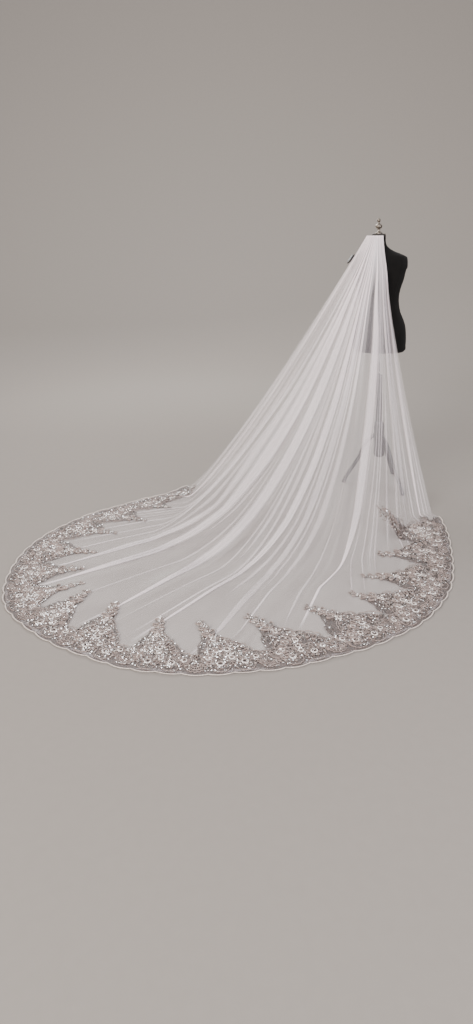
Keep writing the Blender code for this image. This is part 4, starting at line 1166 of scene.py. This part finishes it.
class VEIL_OT_form(bpy.types.Operator):
    """Lofts the jersey torso with its seams and hem band, the armhole plates, neck cap and finial"""
    bl_idname = "veil.form"
    bl_label = "Dress form"

    def execute(self, context):
        jersey = jersey_material()
        levels = [0.8325, 0.8350, 0.8380, *np.linspace(0.842, 1.42, 74), *np.linspace(1.424, 1.5555, 38)]
        rings = [torso_ring(z, -0.0006) for z in levels]
        rings.insert(0, [((x - POLE[0]) * 0.975 + POLE[0], (y - POLE[1]) * 0.975 + POLE[1], 0.8322)
                         for x, y, _ in rings[0]])
        finish_piece("form_torso", loft(rings), jersey, replaces=("dress_form",))
        seams = []
        for share, top in SEAMS:
            i = int(round(share * FORM_SIDES)) % FORM_SIDES
            seams.append([torso_ring(z, -0.0003)[i] for z in np.linspace(0.844, top, 70)])
        collar, band = torso_ring(1.5530, -0.0002), torso_ring(0.8460, 0.0)
        bands = cords("bands", [collar + collar[:1], band + band[:1]], 0.0009)
        finish_piece("form_seams", joined("form_seams", [cords("seams", seams, 0.0007), bands]), jersey)
        plate = metal_material("grey enamelled plate", "#312F2E", "#4E4C4B", 0.25, 0.38, 0.55, 180.0, 0.06)
        for name, side in (("armhole_plate_left", 1), ("armhole_plate_right", -1)):
            shells = [[[(POLE[0] + side * (PLATE_X + out),
                         POLE[1] + PLATE_Y + PLATE_HALF_Y * grow * math.cos(a),
                         PLATE_Z + PLATE_HALF_Z * grow * math.sin(a)) for a in ROUND] for out, grow in PLATE]]
            if side > 0:
                # an oval cap on the left plate, leaning in at its top
                lean_in, lean_up = math.sin(CAP_LEAN), math.cos(CAP_LEAN)
                shells.append([[(POLE[0] + PLATE_X + 0.0085 + out * lean_up - r * math.sin(a) * lean_in,
                                 POLE[1] + PLATE_Y + 0.8 * r * math.cos(a),
                                 PLATE_Z + 0.022 + out * lean_in + r * math.sin(a) * lean_up) for a in ROUND]
                               for out, r in OVAL_CAP])
            finish_piece(name + "_enamel", loft(*shells), plate, replaces=(name,))
        cast = metal_material("aged grey casting", "#5F574F", "#8C8378", 0.85, 0.30, 0.52, 190.0, 0.20)
        disc = turned([(NECK_TOP + GAP + z, r) for z, r in smooth_profile(CAP, 16)], 72)
        dark = metal_material("black enamelled neck disc", "#211E1C", "#35302D", 0.25, 0.34, 0.50, 180.0,
                              0.06)
        finish_piece("neck_disc", disc, dark, replaces=("neck_cap",))
        base = NECK_TOP + GAP + CAP[-1][0] + GAP
        top = turned([(base + z, r) for z, r in smooth_profile(FINIAL, 78)], 56)
        finish_piece("turned_finial", top, cast, replaces=("finial",))
        return {"FINISHED"}


class VEIL_OT_stand(bpy.types.Operator):
    """Turns the pole, tube and hub and bends the three legs"""
    bl_idname = "veil.stand"
    bl_label = "Stand"

    def execute(self, context):
        steel = metal_material("drawn steel pole", "#8E8B87", "#B5B2AD", 1.0, 0.22, 0.38, 160.0, 0.05)
        paint = metal_material("satin black paint on steel", "#131211", "#201E1D", 0.0, 0.32, 0.50, 120.0,
                               0.10)
        rod, tube = POLE_RADIUS, TUBE_RADIUS
        pole = [(TUBE_TOP + GAP, rod), (0.700, rod), (0.7005, rod - 0.0004), (0.7015, rod - 0.0004),
                (0.702, rod), (0.816, rod), (0.8165, rod - 0.0001), (0.8317, rod - 0.0001)]
        sleeve = [(0.3923, tube - 0.0008), (0.3930, tube), (0.642, tube - 0.0012), (0.6425, tube),
                  (0.676, tube), (0.679, tube - 0.0010), (0.680, tube - 0.0030)]
        finish_piece("pole_rod", turned(pole, 40), steel, replaces=("upper_pole",))
        finish_piece("tube_body", turned(sleeve, 48), paint, replaces=("lower_tube",))
        finish_piece("hub_casting", turned(smooth_profile(HUB, 46), 56), paint,
                     replaces=("leg_hub",))
        table = with_run(LEG_PATH)
        spots = np.linspace(0, table[-1, 0], 40)
        curve = np.c_[table_at(table, 1, spots), np.maximum(table_at(table, 2, spots), 0.0)]
        meshes = []
        for degrees in LEG_ANGLES:
            a = math.radians(degrees)
            out, side = Vector((math.cos(a), math.sin(a), 0)), Vector((-math.sin(a), math.cos(a), 0))
            rings = []
            for j, (r, z) in enumerate(curve):
                lo, hi = curve[max(0, j - 1)], curve[min(len(curve) - 1, j + 1)]
                d = Vector((hi[0] - lo[0], hi[1] - lo[1])).normalized()
                n = Vector((-d.y, d.x)) if 0 < j < len(curve) - 1 else Vector((0, 1) if j == 0 else (1, 0))
                ring = []
                for i in range(20):
                    b = 2 * math.pi * i / 20
                    p = out * (r + n.x * LEG_RADIUS * LEG_TRIM * math.cos(b))
                    p += side * LEG_RADIUS * LEG_TRIM * math.sin(b)
                    up = z + n.y * LEG_RADIUS * LEG_TRIM * math.cos(b)
                    ring.append((p.x + POLE[0], p.y + POLE[1], max(0.0, up)))
                rings.append(ring)
            meshes.append(mesh_of(loft(rings), "leg"))
        finish_piece("tripod_legs", joined("tripod_legs", meshes), paint,
                     replaces=("leg_1", "leg_2", "leg_3"))
        return {"FINISHED"}


# ---------------------------------------------------------------- stage
LAMPS = [  # name, where, aimed at, size, power, tint
    ("key", (3.9, 5.8, 3.7), (0.0, -0.2, 0.5), 3.2, 960.0, "#FFF8F2"),
    ("fill", (-3.6, 4.4, 2.0), (0.0, -0.2, 0.5), 3.2, 380.0, "#F4F6FF"),
    ("back", (1.0, -3.4, 3.4), (0.0, -0.2, 0.5), 2.8, 200.0, "#FFFFFF"),
    ("wash", (0.0, -3.4, 5.2), (0.0, -10.0, 3.2), 4.0, 420.0, "#FFFFFF"),
]
SENSOR = 36.0                            # millimetres


class VEIL_OT_stage(bpy.types.Operator):
    """Sets the pale floor, the soft lights and the camera"""
    bl_idname = "veil.stage"
    bl_label = "Stage"

    def execute(self, context):
        scene = context.scene
        flat, curve, top = 4.2, 6.4, 7.4           # radius of the flat floor and of its bend, wall's height
        profile = [(0.0, 0.0), (0.0, flat)]
        profile += [(curve * (1 - math.cos(a)), flat + curve * math.sin(a))
                    for a in np.linspace(0.05, math.pi / 2, 30)]
        profile += [(top, flat + curve)]
        bm = spun([(z - 0.0004, r) for z, r in profile], 96, 0.0, 0.0)
        if sum(face.normal.z for face in bm.faces) < 0:
            bmesh.ops.reverse_faces(bm, faces=bm.faces)
        mesh = mesh_of(bm, "studio_sweep")
        mesh.polygons.foreach_set("use_smooth", np.ones(len(mesh.polygons), bool))
        mesh.materials.append(floor_material())
        sweep = put("studio_sweep", mesh)
        world = bpy.data.worlds.new("soft studio")
        world.use_nodes = True
        background = world.node_tree.nodes["Background"]
        background.inputs[0].default_value = linear("#F3F3F6")
        background.inputs[1].default_value = 1.6
        scene.world = world
        for name, where, aim, size, power, tint in LAMPS:
            data = bpy.data.lights.new(name, "AREA")
            data.size, data.energy, data.color = size, power, linear(tint)[:3]
            light = put(name, data)
            light.location = where
            light.rotation_euler = (Vector(aim) - Vector(where)).to_track_quat("-Z", "Y").to_euler()
        camera = bpy.data.cameras.new("camera")
        camera.sensor_width = SENSOR
        camera.lens = SENSOR * FOCAL_PX / FRAME_H
        camera.shift_y = -(FRAME_H / 2 - HORIZON_PX) / FRAME_H
        camera.clip_end = 60.0
        eye = put("camera", camera)
        eye.location = (EYE[0] + POLE[0], EYE[1] + POLE[1], EYE[2])
        eye.rotation_euler = (math.pi / 2, 0.0, math.pi)
        scene.camera = eye
        return {"FINISHED"}


class VEIL_OT_declare(bpy.types.Operator):
    """Does nothing; it returns at once"""
    bl_idname = "veil.declare"
    bl_label = "State the cut"

    def execute(self, context):
        return {"FINISHED"}


class VEIL_PT_panel(bpy.types.Panel):
    bl_label = "Bridal veil"
    bl_idname = "VEIL_PT_panel"
    bl_space_type = "VIEW_3D"
    bl_region_type = "UI"
    bl_category = "Bridal veil"

    def draw(self, context):
        scene = context.scene
        for group in (scene.veil_look, scene.veil_cloth, scene.veil_lace):
            box = self.layout.box()
            for name in group.__annotations__:
                box.prop(group, name)
        for operator in PIECES:
            self.layout.operator(operator.bl_idname)


PIECES = (VEIL_OT_stage, VEIL_OT_net, VEIL_OT_lace, VEIL_OT_edging, VEIL_OT_heading, VEIL_OT_form,
          VEIL_OT_stand, VEIL_OT_declare)
GROUPS = (("veil_look", VEIL_PG_look), ("veil_cloth", VEIL_PG_cloth), ("veil_lace", VEIL_PG_lace))


def register():
    for name, group in GROUPS:
        bpy.utils.register_class(group)
        setattr(bpy.types.Scene, name, PointerProperty(type=group))
    for operator in PIECES:
        bpy.utils.register_class(operator)
    bpy.utils.register_class(VEIL_PT_panel)


def unregister():
    bpy.utils.unregister_class(VEIL_PT_panel)
    for operator in reversed(PIECES):
        bpy.utils.unregister_class(operator)
    for name, group in reversed(GROUPS):
        delattr(bpy.types.Scene, name)
        bpy.utils.unregister_class(group)


def main():
    register()
    for piece in ("stage", "net", "lace", "edging", "heading", "form", "stand", "declare"):
        getattr(bpy.ops.veil, piece)()


if __name__ == "__main__":
    main()
